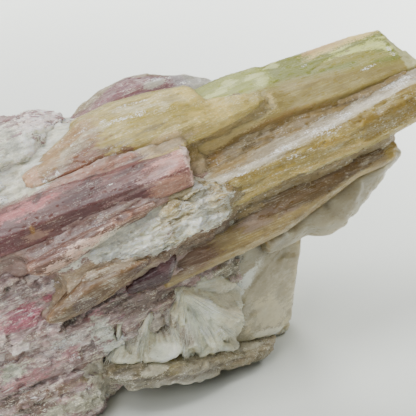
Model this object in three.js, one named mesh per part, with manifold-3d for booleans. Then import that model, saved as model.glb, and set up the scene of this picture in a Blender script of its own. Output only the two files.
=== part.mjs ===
// Tourmaline in matrix: a cabinet specimen of striated tourmaline prisms lying side by side
// in a rock of white albite, lilac mica and cloudy quartz.
//
// Units are millimetres and +Z is up. The prisms share one growth direction, so every piece is
// drawn in a growth frame: x runs along the prisms, y runs back into the rock and z runs across
// them, upwards. One group turns that frame to how the specimen rests, on the flat of its rock.

import * as THREE from 'three';
import { mergeVertices } from 'three/addons/utils/BufferGeometryUtils.js';
import Module from 'manifold-3d';

const wasm = await Module();
wasm.setup();

// Driving dimensions
const GAP = 0.35;                                   // clearance between neighbouring pieces
const REST_HEIGHT = 34;                             // height of the growth frame over the ground
const TURN = THREE.MathUtils.degToRad(19.43);       // prisms swing away from the front face
const PITCH = THREE.MathUtils.degToRad(15.25);      // prisms climb to the right
const ROLL = THREE.MathUtils.degToRad(-30.6);       // broad faces lean back and look up
const STRIATION = 0.14;                             // depth of the grooves along a prism
const ROCK_STEP = 6;                                // spacing of the rings of a rock mass
const GROUND_SLAB = 40;                             // thickness of the cutter below the ground
const GROUND_WIDTH = 240;                           // its width, wider than the specimen
const BLADE_WIDTH = 4.6;                            // middle width of an albite blade
const BLADE_ROOT = 0.45;                            // how much narrower a blade is at its root
const BOOK_RADIUS = 2.3;                            // middle radius of a mica book
const BOOK_STRETCH = 1.6;                           // how much longer than wide it is
const BOOK_SPACING = 6;                             // from one mica book to the next
const SHARD_HALF = 2.9;                             // half the length of an albite shard
const LEDGE_PINCH = 0.22;                           // how far a ledge closes in at its ends
const LEDGE_DRIFT = 0.3;                            // how far back it runs, for its length
const LEDGE_CLIMB = 0.26;                           // how far up it runs, for its length

// Outlines of a section, as [depth, height] fractions: 0 is the front or the foot, 1 the back or
// the top. They run from the top edge down the front, under the foot and up the back.
const PRISM = [[0.45, 1], [0.12, 0.82], [0, 0.5], [0.14, 0.14], [0.5, 0], [0.85, 0.15], [1, 0.5], [0.86, 0.84]];
const GREEN_START = [[0.52, 1], [0.14, 0.7], [0, 0.41], [0.14, 0.13], [0.52, 0], [0.93, 0.16], [1, 0.54], [0.83, 0.89]];
const GREEN_END = [[0.52, 1], [0.1, 0.5], [0, 0.3], [0.14, 0.12], [0.52, 0], [0.93, 0.16], [1, 0.5], [0.83, 0.86]];
const OUTER = [[0.75, 1], [0.35, 0.93], [0.1, 0.66], [0, 0.25], [0.2, 0], [0.6, 0.05], [0.9, 0.3], [1, 0.8]];
const PINK = [[0.42, 1], [0.1, 0.75], [0, 0.42], [0.12, 0.08], [0.55, 0], [1, 0.15], [1, 0.8], [0.8, 1]];
const AMBER = [[0.33, 1], [0.04, 0.73], [0, 0.5], [0.14, 0.06], [0.3, 0], [0.8, 0.1], [1, 0.5], [0.8, 0.95]];
const BROWN = [[0.3, 1], [0.05, 0.8], [0, 0.45], [0.1, 0.1], [0.3, 0], [0.8, 0.08], [1, 0.5], [0.8, 0.95]];
const ROCK = [[0.62, 1], [0.35, 0.93], [0.16, 0.8], [0.05, 0.62], [0, 0.42], [0.02, 0.25], [0.05, 0.12],
  [0.1, 0], [0.9, 0], [0.97, 0.2], [1, 0.5], [0.93, 0.8], [0.8, 0.95]];
const BLOCK = [[0.3, 1], [0.05, 0.92], [0, 0.55], [0.02, 0.2], [0.1, 0.17], [0.36, 0.15], [0.44, 0],
  [0.95, 0], [1, 0.5], [0.88, 0.96]];
const LUMP = [[0.5, 1], [0.2, 0.92], [0.03, 0.7], [0, 0.4], [0.1, 0.12], [0.4, 0], [0.8, 0.08], [1, 0.45], [0.85, 0.9]];
const LEDGE = [[0.55, 1], [0.12, 0.94], [0, 0.7], [0.02, 0.25], [0.12, 0], [0.55, 0.04], [0.9, 0], [1, 0.35], [0.94, 0.9]];
const PLATE = [[0.2, 1], [0.03, 0.95], [0, 0.7], [0.03, 0.3], [0.1, 0], [0.5, 0.05], [0.9, 0], [1, 0.5], [0.9, 1]];
const APRON = [[0.7, 1], [0.35, 0.8], [0.1, 0.55], [0, 0.2], [0.1, 0], [0.9, 0], [1, 0.6]];

const growth = new THREE.Group();
growth.name = 'growth_frame';
growth.rotation.set(ROLL, -PITCH, TURN, 'ZYX');
growth.position.set(0, 0, REST_HEIGHT);
growth.updateMatrixWorld();
const fromGround = growth.matrixWorld.clone().invert();

// A repeatable number from -1 to 1 for whole-number arguments.
function scatter(...keys) {
  const mixed = keys.reduce((sum, key, i) => sum + key * (127.1 + 184.6 * i), 11.3);
  const wave = Math.sin(mixed) * 43758.5453;
  return 2 * (wave - Math.floor(wave)) - 1;
}

// Puts a point on each edge of an outline, `parts` of them from corner to corner.
function divide(outline, parts) {
  return outline.flatMap((corner, i) => {
    const next = outline[(i + 1) % outline.length];
    return Array.from({ length: parts }, (_, n) => corner.map((c, axis) => c + ((next[axis] - c) * n) / parts));
  });
}

// Adds stations so that none are more than `step` apart.
function fill(stations, step) {
  return stations.flatMap((station, i) => {
    const next = stations[i + 1];
    if (!next) return [station];
    const count = Math.max(1, Math.round((next[0] - station[0]) / step));
    return Array.from({ length: count }, (_, n) => station.map((value, axis) => value + ((next[axis] - value) * n) / count));
  });
}

// A closed skin over rings with the same number of points, capped at both ends.
function loft(rings) {
  const sides = rings[0].length;
  const points = rings.flat();
  const triangles = [];
  const at = (ring, side) => ring * sides + (side % sides);
  for (let ring = 0; ring + 1 < rings.length; ring += 1) {
    for (let side = 0; side < sides; side += 1) {
      triangles.push(at(ring, side), at(ring, side + 1), at(ring + 1, side + 1));
      triangles.push(at(ring, side), at(ring + 1, side + 1), at(ring + 1, side));
    }
  }
  const centre = (ring) => ring.reduce((sum, p) => sum.add(p), new THREE.Vector3()).divideScalar(sides);
  const first = points.push(centre(rings[0])) - 1;
  const last = points.push(centre(rings.at(-1))) - 1;
  for (let side = 0; side < sides; side += 1) {
    triangles.push(first, at(0, side + 1), at(0, side));
    triangles.push(last, at(rings.length - 1, side), at(rings.length - 1, side + 1));
  }
  const geometry = new THREE.BufferGeometry().setFromPoints(points);
  geometry.setIndex(triangles);
  return geometry;
}

// A solid from a closed geometry.
function solid(geometry) {
  geometry.deleteAttribute('normal');
  geometry.deleteAttribute('uv');
  const merged = mergeVertices(geometry, 1e-4);
  return new wasm.Manifold(new wasm.Mesh({
    numProp: 3,
    vertProperties: merged.attributes.position.array,
    triVerts: new Uint32Array(merged.index.array),
  }));
}

// A long body drawn by stations [x, front, back, foot, top]. `swell` draws it that much fatter,
// for cutting its neighbours; `slant` leans the right end; `grooves` follow the length, and
// `rough` and `jag` break the surface and the ends.
function body({ outline, lastOutline = outline, stations, slant = 0, grooves = 0, rough = 0, jag = 0, seed = 1 }, swell) {
  const last = stations.length - 1;
  const rings = stations.map(([x, front, back, foot, top], i) => outline.map(([depth, height], k) => {
    const share = i / last;
    const u = THREE.MathUtils.lerp(depth, lastOutline[k][0], share);
    const v = THREE.MathUtils.lerp(height, lastOutline[k][1], share);
    const groove = grooves * (scatter(seed, k) - 1) * 0.5;
    const y = THREE.MathUtils.lerp(front - swell, back + swell, u) + rough * scatter(seed, i, k) - groove * (1 - 2 * u);
    const z = THREE.MathUtils.lerp(foot - swell, top + swell, v) + rough * scatter(seed + 1, i, k) + groove * (2 * v - 1);
    const end = i === 0 ? -1 : Number(i === last);
    const lean = i === last ? slant * (z - (foot + top) / 2) : 0;
    return new THREE.Vector3(x + end * swell + lean + jag * scatter(seed + 2, i, k), y, z);
  }));
  return loft(rings);
}

// A prism has grooved faces; the socket that it leaves in its neighbours is plain.
const crystal = (shape) => (swell) => {
  if (swell > 0) return solid(body(shape, swell));
  const { outline, lastOutline = outline } = shape;
  return solid(body({ ...shape, outline: divide(outline, 2), lastOutline: divide(lastOutline, 2), grooves: STRIATION }, 0));
};
const grown = (shape) => (swell) => solid(body(shape, swell));
const laid = (shape) => (swell) => solid(body(shape, swell).applyMatrix4(fromGround));
const joined = (...makers) => (swell) => makers.map((make) => make(swell)).reduce((all, part) => all.add(part));

// A thin blade from its root to its tip, both given over the ground, edge on to the front.
function blade({ root, tip, width, thickness, twist }) {
  const length = new THREE.Vector3(...tip).distanceTo(new THREE.Vector3(...root));
  return (swell) => {
    const geometry = new THREE.BoxGeometry(thickness + 2 * swell, width + 2 * swell, length + 2 * swell);
    const place = geometry.attributes.position;
    for (let i = 0; i < place.count; i += 1) {
      const narrowing = place.getZ(i) < 0 ? BLADE_ROOT : 1;
      place.setXYZ(i, place.getX(i) * narrowing, place.getY(i) * narrowing, place.getZ(i) + length / 2);
    }
    const holder = new THREE.Object3D();
    holder.position.set(...root);
    holder.up.set(Math.sin(twist), -Math.cos(twist), 0);
    holder.lookAt(...tip);
    holder.updateMatrixWorld();
    return solid(geometry.applyMatrix4(holder.matrixWorld).applyMatrix4(fromGround));
  };
}

// A six-sided book of mica lying in the growth frame, tilted about the prism direction.
function book({ at, radius, thickness, tilt, turn }) {
  return (swell) => {
    const geometry = new THREE.CylinderGeometry(radius * 0.9 + swell, radius + swell, thickness + 2 * swell, 6);
    geometry.scale(BOOK_STRETCH, 1, 1);
    geometry.rotateY(turn);
    geometry.rotateX(tilt);
    geometry.translate(...at);
    return solid(geometry);
  };
}

// The pieces, each by its name. First the tourmaline: prisms, splinters and blades.
const makers = {};

makers.green_crystal = crystal({
  outline: GREEN_START, lastOutline: GREEN_END, slant: -0.28, jag: 0.15, seed: 3,
  stations: [
    [-22, -2.5, 10, 5, 19.4], [-8, -3, 10.6, 5, 19.8], [3.5, -3.4, 11, 4.9, 20.3], [10.6, -3.7, 11.1, 4.8, 20.8],
    [18.6, -3.8, 11.1, 4.6, 20.5], [19.1, -3.4, 11, 4.6, 20], [27, -3.5, 11, 4.6, 19.4], [33, -3.5, 11, 4.8, 19.1],
    [37, -3.4, 10.8, 5, 18.9], [42.4, -3.1, 10.4, 5.5, 18.2], [44.5, -2.8, 10, 5.9, 16.8],
  ],
});

makers.amber_crystal = crystal({
  outline: AMBER, slant: -0.2, jag: 0.15, seed: 5,
  stations: [
    [-24, -3, 4, -3, 3], [-12, -4.6, 4.6, -2.8, 4.6], [-4, -6, 5, -2.6, 5.9], [0.8, -6.6, 5, -2.3, 6.4],
    [8, -6.9, 5, -1.5, 6.4], [13, -6.9, 5, -1.1, 6.6], [18, -7.1, 5, -1.1, 6.9], [26, -7, 5, -1.1, 7.2],
    [34, -7, 5, -0.5, 7.8], [41, -6.9, 5, 0.3, 8.6], [48, -6.3, 4.6, 1.3, 9.1],
  ],
});

makers.pink_crystal = crystal({
  outline: PINK, slant: 0.28, jag: 0.35, seed: 7,
  stations: [
    [-57, -10.4, -4, 5.6, 11.4], [-48, -11.2, -3, 5.4, 12.4], [-38, -11.6, -3, 5.4, 12.8], [-27, -12, -3, 4.7, 13],
    [-21, -12.1, -3, 4.5, 12.8], [-14, -12.3, -3.2, 4.5, 12.2], [-7, -12.2, -3.5, 3.9, 12], [-1.9, -11.8, -4, 4, 12.1],
  ],
});

makers.rose_splinter = crystal({
  outline: PRISM, jag: 0.2, seed: 11,
  stations: [
    [-33.3, -12.2, -9.5, 1.1, 2.9], [-31, -12.9, -6, -0.1, 3.6], [-26, -13.1, -5, 0.1, 4.4], [-21.5, -13.1, -5, 1.2, 4.8],
    [-15.8, -13, -5.5, 2.5, 5], [-12.2, -12.7, -8, 2.9, 4.8], [-10.2, -12.2, -10.4, 3.8, 4.4],
  ],
});

makers.outer_crystal = crystal({
  outline: OUTER, jag: 0.3, seed: 13,
  stations: [
    [-28, -6.6, -3, 14.4, 17], [-26.4, -7.4, 0, 12.9, 18.3], [-22.3, -7.9, 2, 12.6, 19.8], [-18, -8.1, 3, 12.1, 21.6],
    [-16, -8.3, 3.5, 12, 22.9], [-9, -8.6, 4, 11.6, 23.5], [-2, -8.6, 4, 11.4, 22.7], [4.4, -8.2, 3.5, 11.5, 21.4],
    [5.6, -7.7, -0.5, 11.7, 17.8], [11.6, -6.9, -1.5, 12.2, 16.4], [14.6, -6.3, -2.4, 12.8, 15.9], [15.7, -5.7, -3, 13.6, 15.2],
  ],
});

makers.brown_crystal = crystal({
  outline: BROWN, jag: 0.2, seed: 17,
  stations: [
    [-12, -2.5, 4, -10, -1], [-7, -3, 4, -9.9, -0.8], [3.5, -3.2, 4, -9.6, -1], [11.4, -3.3, 4, -9, -0.6],
    [15.7, -3.3, 4, -8, -0.6], [22.4, -3.2, 3.6, -6.2, -0.5], [26.8, -3, 3.2, -5.1, -0.4], [31.8, -2.6, 2.8, -5, -0.2],
    [34.8, -2, 2, -4.6, -0.3], [35.8, -1, 1, -3.8, -1.4],
  ],
});

makers.back_crystal = crystal({
  outline: PRISM, jag: 0.3, seed: 19,
  stations: [
    [-24, 6, 14, 13, 22], [-15, 6.5, 15, 14, 24.2], [-12.9, 6.5, 15.5, 14, 25.6], [-8.3, 6.5, 16, 14, 27.3],
    [-3.2, 6.5, 16, 14, 27.7], [0.5, 6.5, 16, 14, 27], [3.8, 6.8, 15.5, 14, 25.5], [7.3, 7, 15, 13.5, 24],
    [11, 8, 14, 13, 21.9], [13, 9, 13, 14, 19],
  ],
});

makers.purple_crystal = crystal({
  outline: PRISM, jag: 0.1, seed: 23,
  stations: [
    [-19, -6.5, -3, -8.3, -7.4], [-17.4, -7.2, -2, -8.4, -6], [-14.6, -7.8, -1, -9, -4.3], [-12, -7.8, -1, -9, -4],
    [-10.2, -7.2, -1.5, -7.2, -4.2], [-9.5, -6.4, -3, -6.2, -5],
  ],
});

makers.tan_blade = crystal({
  outline: PRISM, jag: 0.2, seed: 29,
  stations: [
    [-33.2, -9.5, -5, -7.5, -6.6], [-31, -10.2, -4, -8, -5.3], [-27.6, -10.6, -4, -7.9, -3.5], [-24.4, -10.8, -4, -7.5, -1.4],
    [-20, -10.8, -4, -6.6, -2], [-16, -10.4, -4, -5.2, -3.4], [-14.2, -9.8, -5, -4.6, -3.9],
  ],
});

// Then the rock: albite, quartz and mica.
// Albite over the middle of the front: a thin mass with shards lying along the prisms.
const SHARD = [[0.4, 1], [0, 0.6], [0.2, 0], [0.9, 0.1], [1, 0.8]];
const shardPlaces = [[-20, -0.4], [-16.4, -2.2], [-13.4, 0.6], [-10.6, -2.6], [-8.4, 1.8], [-4.6, -1.8], [-2.4, 3.2], [0.6, 1]];
makers.albite_crust = joined(
  grown({
    outline: LUMP, rough: 0.35, jag: 0.3, seed: 31,
    stations: [
      [-22.8, -9.8, -5, -1.2, 0.8], [-20, -10.4, -4.4, -1.9, 1], [-16, -10.6, -4, -4, 1], [-13, -10.7, -4, -4.4, 2.6],
      [-7, -10.2, -4, -4.2, 3.4], [-3, -9.8, -3, -4, 3.8], [-1, -9.6, -3, -3.5, 4.4], [1.6, -9, -3, -2.2, 4],
      [3.2, -8.2, -4.4, -0.4, 2],
    ],
  }),
  ...shardPlaces.map(([x, z], i) => {
    const half = SHARD_HALF + 0.9 * scatter(i, 1);
    const front = -11 + 0.16 * Math.max(x + 6, 0) + 0.4 * scatter(i, 2);
    const rise = 0.9 * scatter(i, 3);
    const tall = 0.9 + 0.3 * scatter(i, 4);
    return grown({ outline: SHARD, rough: 0.15, jag: 0.5, seed: 80 + i, stations: [
      [x - half, front + 1, -6, z - rise - 0.3, z - rise + 0.3], [x - 0.4 * half, front, -6, z - 0.5 * rise - tall, z + tall],
      [x + 0.5 * half, front + 0.3, -6, z + 0.3 * rise - tall, z + 0.6 * rise + tall],
      [x + half, front + 1.2, -6, z + rise - 0.25, z + rise + 0.25]] });
  }),
);

makers.layered_plate = laid({
  outline: PLATE, rough: 0.26, jag: 0.4, seed: 37,
  stations: fill([
    [-18.2, -12.6, 4, 8, 9.2], [-17.7, -15, 5, 7.4, 9.6], [-16.9, -15.6, 6, 7, 9.9], [-15.6, -15.9, 7, 6.5, 10.1],
    [-13, -16.3, 8, 6.1, 10.3], [-8.9, -14.6, 10, 5.2, 9.1], [-4.9, -12.6, 11, 4.2, 8.3], [-2, -10.1, 12, 3.4, 7.6],
    [2.7, -5.6, 13, 2.6, 6.1], [7.6, -1.2, 14, 2, 4.7], [10.6, 2, 13, 1.9, 4], [12.4, 4.4, 12, 2.3, 3.7],
  ], 2),
});

makers.quartz = joined(
  laid({
    outline: BLOCK, slant: 0.1, rough: 0.6, jag: 0.5, seed: 41,
    stations: fill([
      [-14, 2, 24, -0.8, 28], [-6, -1, 25, -0.8, 29], [2, 0, 25, -0.8, 28.5], [8, 3, 25, -0.8, 27], [12.8, 6, 24, -0.6, 26],
      [16.1, 8.6, 22, 1.2, 25],
    ], ROCK_STEP),
  }),
  grown({
    outline: LUMP, rough: 0.42, jag: 0.3, seed: 43,
    stations: fill([
      [8, 0, 10, -12, 0], [15.5, 0.5, 11, -11.3, 0], [18, 0, 11, -12.3, 0.5], [22, 0, 11, -12.7, 0.5],
      [25.6, 0.5, 11, -10.9, 0.6], [29.3, 1, 10.5, -9, 0.6], [33, 1, 9.5, -7, 0.4], [35.6, 2, 8.5, -6, 0],
      [37, 3, 7, -5, -2],
    ], 2.6),
  }),
);

// Blades of albite, root and tip over the ground: loose strands on the left, one spray on the right.
const SPRAY_ROOT = [-5.6, -6.8, 21.4];
const strands = [
  [[-14.7, -9.6, 18.8], [-15.9, -10, 14.2]], [[-10, -9, 18.2], [-12.2, -9.6, 11.4]], [[-7.2, -8.4, 18.8], [-7.9, -8.9, 14]],
  [[-6, -8, 17.6], [-5.4, -8.5, 10.8]],
];
const sprayTips = [[-3.2, -7.4, 11], [-1, -6.2, 9.2], [2.2, -4.3, 9.4], [4.6, -3, 11.2], [5.5, -2.6, 15]];
const blades = [...strands, ...sprayTips.map((tip) => [SPRAY_ROOT, tip])];
makers.albite_fan = joined(
  laid({
    outline: LUMP, rough: 0.5, jag: 0.4, seed: 47,
    stations: fill([
      [-8.5, -5.2, 6, 9, 22], [-5, -6.2, 8, 7.4, 23.6], [-1, -5, 8, 6.4, 23.4], [3, -2.6, 8, 6, 21.6], [6.4, -0.2, 6, 7.8, 17],
    ], 2.2),
  }),
  laid({ outline: LUMP, rough: 0.25, seed: 53, stations: [[-12.6, -7.6, -2, 8.6, 12], [-11, -9.6, -2, 7.6, 13.4],
    [-8, -10, -2, 7.2, 13.6], [-5.6, -9, -2, 7.4, 12.6], [-4.4, -7, -2, 8.4, 11.4]] }),
  laid({ outline: APRON, rough: 0.3, jag: 0.3, seed: 57, stations: fill([
    [-18, -11.6, -5, 8.6, 13], [-16.2, -14.2, -5, 8, 14.2], [-13, -14.8, -4, 7.6, 14.4], [-9.4, -13.4, -2, 7, 12.8],
    [-6, -11.8, 1, 6, 11.6], [-3, -9.6, 4, 5, 10.6], [2, -5, 6, 4.6, 9.4], [5.6, -1.6, 7, 4.2, 8]], 3) }),
  ...blades.map(([root, tip], i) => blade({ root, tip, width: BLADE_WIDTH + scatter(i, 2), thickness: 1 + 0.3 * scatter(i, 4),
    twist: 0.3 * scatter(i, 6) })),
);

// Mica books on the lower left of the front face.
const BOOK_COLUMNS = 4;
const micaBooks = Array.from({ length: 2 * BOOK_COLUMNS }, (_, i) => {
  const row = Math.floor(i / BOOK_COLUMNS);
  const x = -44 + BOOK_SPACING * (i % BOOK_COLUMNS) + 2.2 * scatter(i, 1);
  const z = -8 - BOOK_SPACING * row + 1.6 * scatter(i, 2);
  return book({ at: [x, -5.6 - 0.54 * z + 0.5 * scatter(i, 3), z], radius: BOOK_RADIUS + 0.6 * scatter(i, 4),
    thickness: 1.7 + 0.5 * scatter(i, 5), tilt: 0.4 + 0.4 * scatter(i, 6), turn: 3 * scatter(i, 7) });
});

// A ledge of rock that follows the prisms: `reach` is its two ends, and depth and height are
// given at its middle.
function ledge({ reach: [from, to], front, back, foot, top, seed }) {
  const middle = (from + to) / 2;
  const half = (to - from) / 2;
  const stations = [-1, -0.66, -0.05, 0.62, 1].map((share) => {
    const x = middle + half * share;
    const pinch = LEDGE_PINCH * share ** 4;
    const drift = LEDGE_DRIFT * half * share;
    const climb = LEDGE_CLIMB * half * share;
    return [x, front + drift + pinch * (back - front), back + drift - pinch * (back - front),
      foot + climb + pinch * (top - foot), top + climb - pinch * (top - foot)];
  });
  return laid({ outline: LEDGE, rough: 0.55, jag: 0.9, seed, stations });
}

makers.matrix = joined(
  laid({
    outline: ROCK, rough: 1, jag: 1, seed: 59,
    stations: fill([
      [-57, -9, 8, 12, 34], [-54, -14, 13, 5, 39], [-50, -17.5, 18, -1, 42.5], [-43, -18.6, 20, -1.2, 46], [-36, -17.4, 22, -1.2, 47.4],
      [-30, -16, 23, -1.2, 47.4], [-24, -14.2, 23, -1.2, 46.6], [-18, -12.4, 23, 0.6, 45], [-12, -10.4, 23, 5, 43.2],
      [-6, -7, 22, 6, 41], [0, -3, 21, 7, 38], [6, 2, 18, 10, 33],
    ], ROCK_STEP),
  }),
  ledge({ reach: [-53, -22], front: -19.6, back: 6, foot: 5.6, top: 12.6, seed: 62 }),
  ledge({ reach: [-55, -19], front: -18.6, back: 4, foot: 13.4, top: 20.4, seed: 63 }),
  ledge({ reach: [-57, -26], front: -19, back: 2, foot: 21.6, top: 28.6, seed: 64 }),
  ledge({ reach: [-52, -26], front: -7.5, back: 10, foot: 38, top: 47.6, seed: 65 }),
  ledge({ reach: [-54, -8], front: 2, back: 26.6, foot: 24, top: 39, seed: 67 }),
  ledge({ reach: [-58, -14], front: 0, back: 24.6, foot: 6, top: 21, seed: 68 }),
  ledge({ reach: [-34, 6], front: 4, back: 29, foot: 11, top: 25, seed: 69 }),
  ledge({ reach: [-60, -44], front: -14, back: 11, foot: 15, top: 30, seed: 70 }),
  laid({
    outline: LUMP, rough: 0.5, jag: 0.5, seed: 61,
    stations: fill([
      [-44, -15, 0, 0, 8], [-37, -18.4, 0, -1, 10.2], [-29, -19.4, 0, -1, 10.6], [-21.6, -18.6, 0, -1, 9.4], [-18.6, -16, -2, 0, 7.6],
    ], ROCK_STEP),
  }),
  laid({ outline: LUMP, rough: 0.4, seed: 71, stations: [[-22, -10.5, 0, 12.6, 17], [-20.4, -12.8, 0, 11, 19.6],
    [-17.8, -13, 0, 10.4, 20.4], [-15.6, -11, 0, 11.4, 18.6]] }),
  ...micaBooks,
);

// Dark openings in the rock: the long gash under the tan blade and two small pits beside it.
const hollows = [
  { outline: PRISM, stations: [[-34, -16, -8, -8.9, -8.5], [-28, -16, -4.5, -9.8, -7.6], [-20, -16, -3.5, -8.9, -6.9],
    [-16, -16, -5, -7.4, -6.8]] },
  { outline: PRISM, stations: [[-38, -16, -9.5, -0.4, 0.6], [-36.4, -16, -8, -1.4, 1.4], [-34.4, -16, -8.4, -0.8, 1.2]] },
  { outline: PRISM, stations: [[-42.6, -16, -9.5, -0.8, 0], [-41.2, -16, -8.6, -1.2, 0.4], [-39.8, -16, -9, -0.7, 0.2]] },
].map((shape) => grown(shape)(0));

// What cuts what: an earlier piece keeps its shape, and each later one makes room for it.
const order = ['green_crystal', 'pink_crystal', 'rose_splinter', 'amber_crystal', 'outer_crystal', 'brown_crystal',
  'back_crystal', 'purple_crystal', 'tan_blade', 'albite_crust', 'layered_plate', 'quartz', 'albite_fan', 'matrix'];

const finishes = {
  green_crystal: { color: 0xa9a67c, roughness: 0.42 },
  amber_crystal: { color: 0xa8946a, roughness: 0.4 },
  pink_crystal: { color: 0xb08486, roughness: 0.45 },
  rose_splinter: { color: 0xb7998c, roughness: 0.45 },
  outer_crystal: { color: 0xc3ac88, roughness: 0.45 },
  brown_crystal: { color: 0x7d6648, roughness: 0.5 },
  back_crystal: { color: 0x9a7c7a, roughness: 0.5 },
  purple_crystal: { color: 0x5e4548, roughness: 0.35 },
  tan_blade: { color: 0xae9a78, roughness: 0.45 },
  albite_crust: { color: 0xc9cabd, roughness: 0.7 },
  layered_plate: { color: 0x8e8468, roughness: 0.55 },
  quartz: { color: 0xaaa596, roughness: 0.35 },
  albite_fan: { color: 0xcfcdc2, roughness: 0.6 },
  matrix: { color: 0xb49a9b, roughness: 0.7 },
};

// The cutter that leaves the rock flat where it rests.
const groundCut = solid(new THREE.BoxGeometry(GROUND_WIDTH, GROUND_WIDTH, GROUND_SLAB).translate(0, 0, -GROUND_SLAB / 2)
  .applyMatrix4(fromGround));

// The largest body of a cut piece; crumbs that a cut leaves are dropped.
function mainBody(shape) {
  return shape.decompose().reduce((best, part) => (part.volume() > best.volume() ? part : best));
}

function shaped(name) {
  const earlier = order.slice(0, order.indexOf(name));
  let shape = makers[name](0).subtract(groundCut);
  if (name === 'matrix') shape = hollows.reduce((rock, hollow) => rock.subtract(hollow), shape);
  for (const neighbour of earlier) shape = shape.subtract(makers[neighbour](GAP));
  return mainBody(shape);
}

for (const name of order) {
  const { vertProperties, triVerts } = shaped(name).getMesh();
  const geometry = new THREE.BufferGeometry();
  geometry.setAttribute('position', new THREE.BufferAttribute(new Float32Array(vertProperties), 3));
  geometry.setIndex(new THREE.BufferAttribute(new Uint32Array(triVerts), 1));
  geometry.computeVertexNormals();
  const mesh = new THREE.Mesh(geometry, new THREE.MeshStandardMaterial({ ...finishes[name], metalness: 0, flatShading: true }));
  mesh.name = name;
  growth.add(mesh);
}

// The origin is under the middle of the specimen, on the ground.
const specimen = new THREE.Group();
specimen.name = 'tourmaline_in_matrix';
specimen.add(growth);
const box = new THREE.Box3().setFromObject(specimen, true);
const middle = box.getCenter(new THREE.Vector3());
specimen.position.set(-middle.x, -middle.y, -box.min.z);

export default specimen;
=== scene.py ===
"""Tourmaline in matrix: skins, colours, crust, floor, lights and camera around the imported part."""

import math

import bpy
import numpy as np
from mathutils import Euler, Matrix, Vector


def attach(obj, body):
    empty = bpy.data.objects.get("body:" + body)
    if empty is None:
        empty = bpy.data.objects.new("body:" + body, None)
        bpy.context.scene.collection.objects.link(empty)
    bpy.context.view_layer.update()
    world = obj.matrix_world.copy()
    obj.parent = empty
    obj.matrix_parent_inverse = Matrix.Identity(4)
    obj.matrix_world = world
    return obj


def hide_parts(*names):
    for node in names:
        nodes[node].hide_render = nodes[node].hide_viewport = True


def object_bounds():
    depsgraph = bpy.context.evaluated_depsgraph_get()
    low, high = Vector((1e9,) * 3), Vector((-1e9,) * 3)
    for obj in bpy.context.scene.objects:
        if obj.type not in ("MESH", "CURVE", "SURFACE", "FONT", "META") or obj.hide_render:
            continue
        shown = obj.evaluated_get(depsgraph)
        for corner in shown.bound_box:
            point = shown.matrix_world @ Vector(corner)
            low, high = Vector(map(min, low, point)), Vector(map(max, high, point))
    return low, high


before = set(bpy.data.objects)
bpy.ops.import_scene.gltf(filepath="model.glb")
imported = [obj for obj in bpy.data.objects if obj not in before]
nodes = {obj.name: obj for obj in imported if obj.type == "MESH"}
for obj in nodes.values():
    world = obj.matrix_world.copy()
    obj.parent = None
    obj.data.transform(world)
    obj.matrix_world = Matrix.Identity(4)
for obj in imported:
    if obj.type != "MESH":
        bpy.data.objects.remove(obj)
cad_box = [list(corner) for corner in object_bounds()]

MM = 0.001
# The growth frame, where x runs along the prisms, y back into the rock and z across them and upwards: its
# middle and its turn in the specimen. Places and sizes in the makers are millimetres of this frame.
HEART = Vector((0.008163, -0.003881, 0.034))
LEAN = Euler((math.radians(-30.6), math.radians(-15.25), math.radians(19.43)), "XYZ")
TURNED = np.array(LEAN.to_matrix())
GROWTH_WAY = TURNED[:, 0]
CENTRE = np.array(HEART) / MM
BOX = np.array(cad_box) / MM

# ---------------------------------------------------------------- numbers that vary over a surface

CORNERS = np.array([(x, y, z) for x in (0, 1) for y in (0, 1) for z in (0, 1)])
AROUND = np.array([(x, y, z) for x in (-1, 0, 1) for y in (-1, 0, 1) for z in (-1, 0, 1)])
WORD = 0xFFFFFFFF
TEN_BITS = 1023
# Large odd numbers that scatter the bits of a place in the lattice, of a key and of a whole word.
MIX_X, MIX_Y, MIX_Z, MIX_KEY, MIX_WORD = 73856093, 19349663, 83492791, 2654435761, 0x45D9F3B
KEY_START = 11
OCTAVES = 3
TORN_SIZE, TORN_KEY = (2.0, 0.7, 0.7), 77


def draw(cells, key):
    """A repeatable whole number of 32 bits for each cell of a lattice."""
    mixed = cells[:, 0] * MIX_X ^ cells[:, 1] * MIX_Y ^ cells[:, 2] * MIX_Z ^ (key + KEY_START) * MIX_KEY
    for _ in range(3):
        mixed = (mixed & WORD ^ (mixed & WORD) >> 16) * MIX_WORD
    return (mixed & WORD) ^ (mixed & WORD) >> 16


def ripple(points, size, key):
    """Smooth waves from -1 to 1, with one size for each axis."""
    place = points / np.asarray(size, float)
    cell = np.floor(place).astype(np.int64)
    part = place - cell
    part = part * part * (3 - 2 * part)
    total = np.zeros(len(points))
    for corner in CORNERS:
        total += np.where(corner, part, 1 - part).prod(1) * draw(cell + corner, key)
    return 2 * total / WORD - 1


def waves(points, size, key):
    """Ripples over ripples, each half the size and the height of the last, from -1 to 1."""
    size = np.asarray(size, float)
    total = sum(ripple(points, size / 2 ** n, key + n) / 2 ** n for n in range(OCTAVES))
    return total / (2 - 0.5 ** (OCTAVES - 1))


def facets(points, size, key, tilt=1.5):
    """Broken faces: each point takes the tilted plane of its nearest seed, from about -1 to 1."""
    place = points / np.asarray(size, float)
    cell = np.floor(place).astype(np.int64)
    nearest = np.full(len(points), np.inf)
    height = np.zeros(len(points))
    for step in AROUND:
        word = draw(cell + step, key)
        bits = np.stack([word & TEN_BITS, word >> 10 & TEN_BITS, word >> 20 & TEN_BITS], 1) / TEN_BITS
        away = place - cell - step - bits
        distance = (away ** 2).sum(1)
        closer = distance < nearest
        plane = tilt * (away * (np.roll(bits, 1, 1) * 2 - 1)).sum(1) + (bits[:, 0] + bits[:, 1] - 1)
        height = np.where(closer, plane, height)
        nearest = np.where(closer, distance, nearest)
    return height


def rise(value, low, high):
    """From 0 at `low` to 1 at `high`, smoothly."""
    part = np.clip((value - low) / (high - low), 0, 1)
    return part * part * (3 - 2 * part)


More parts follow.
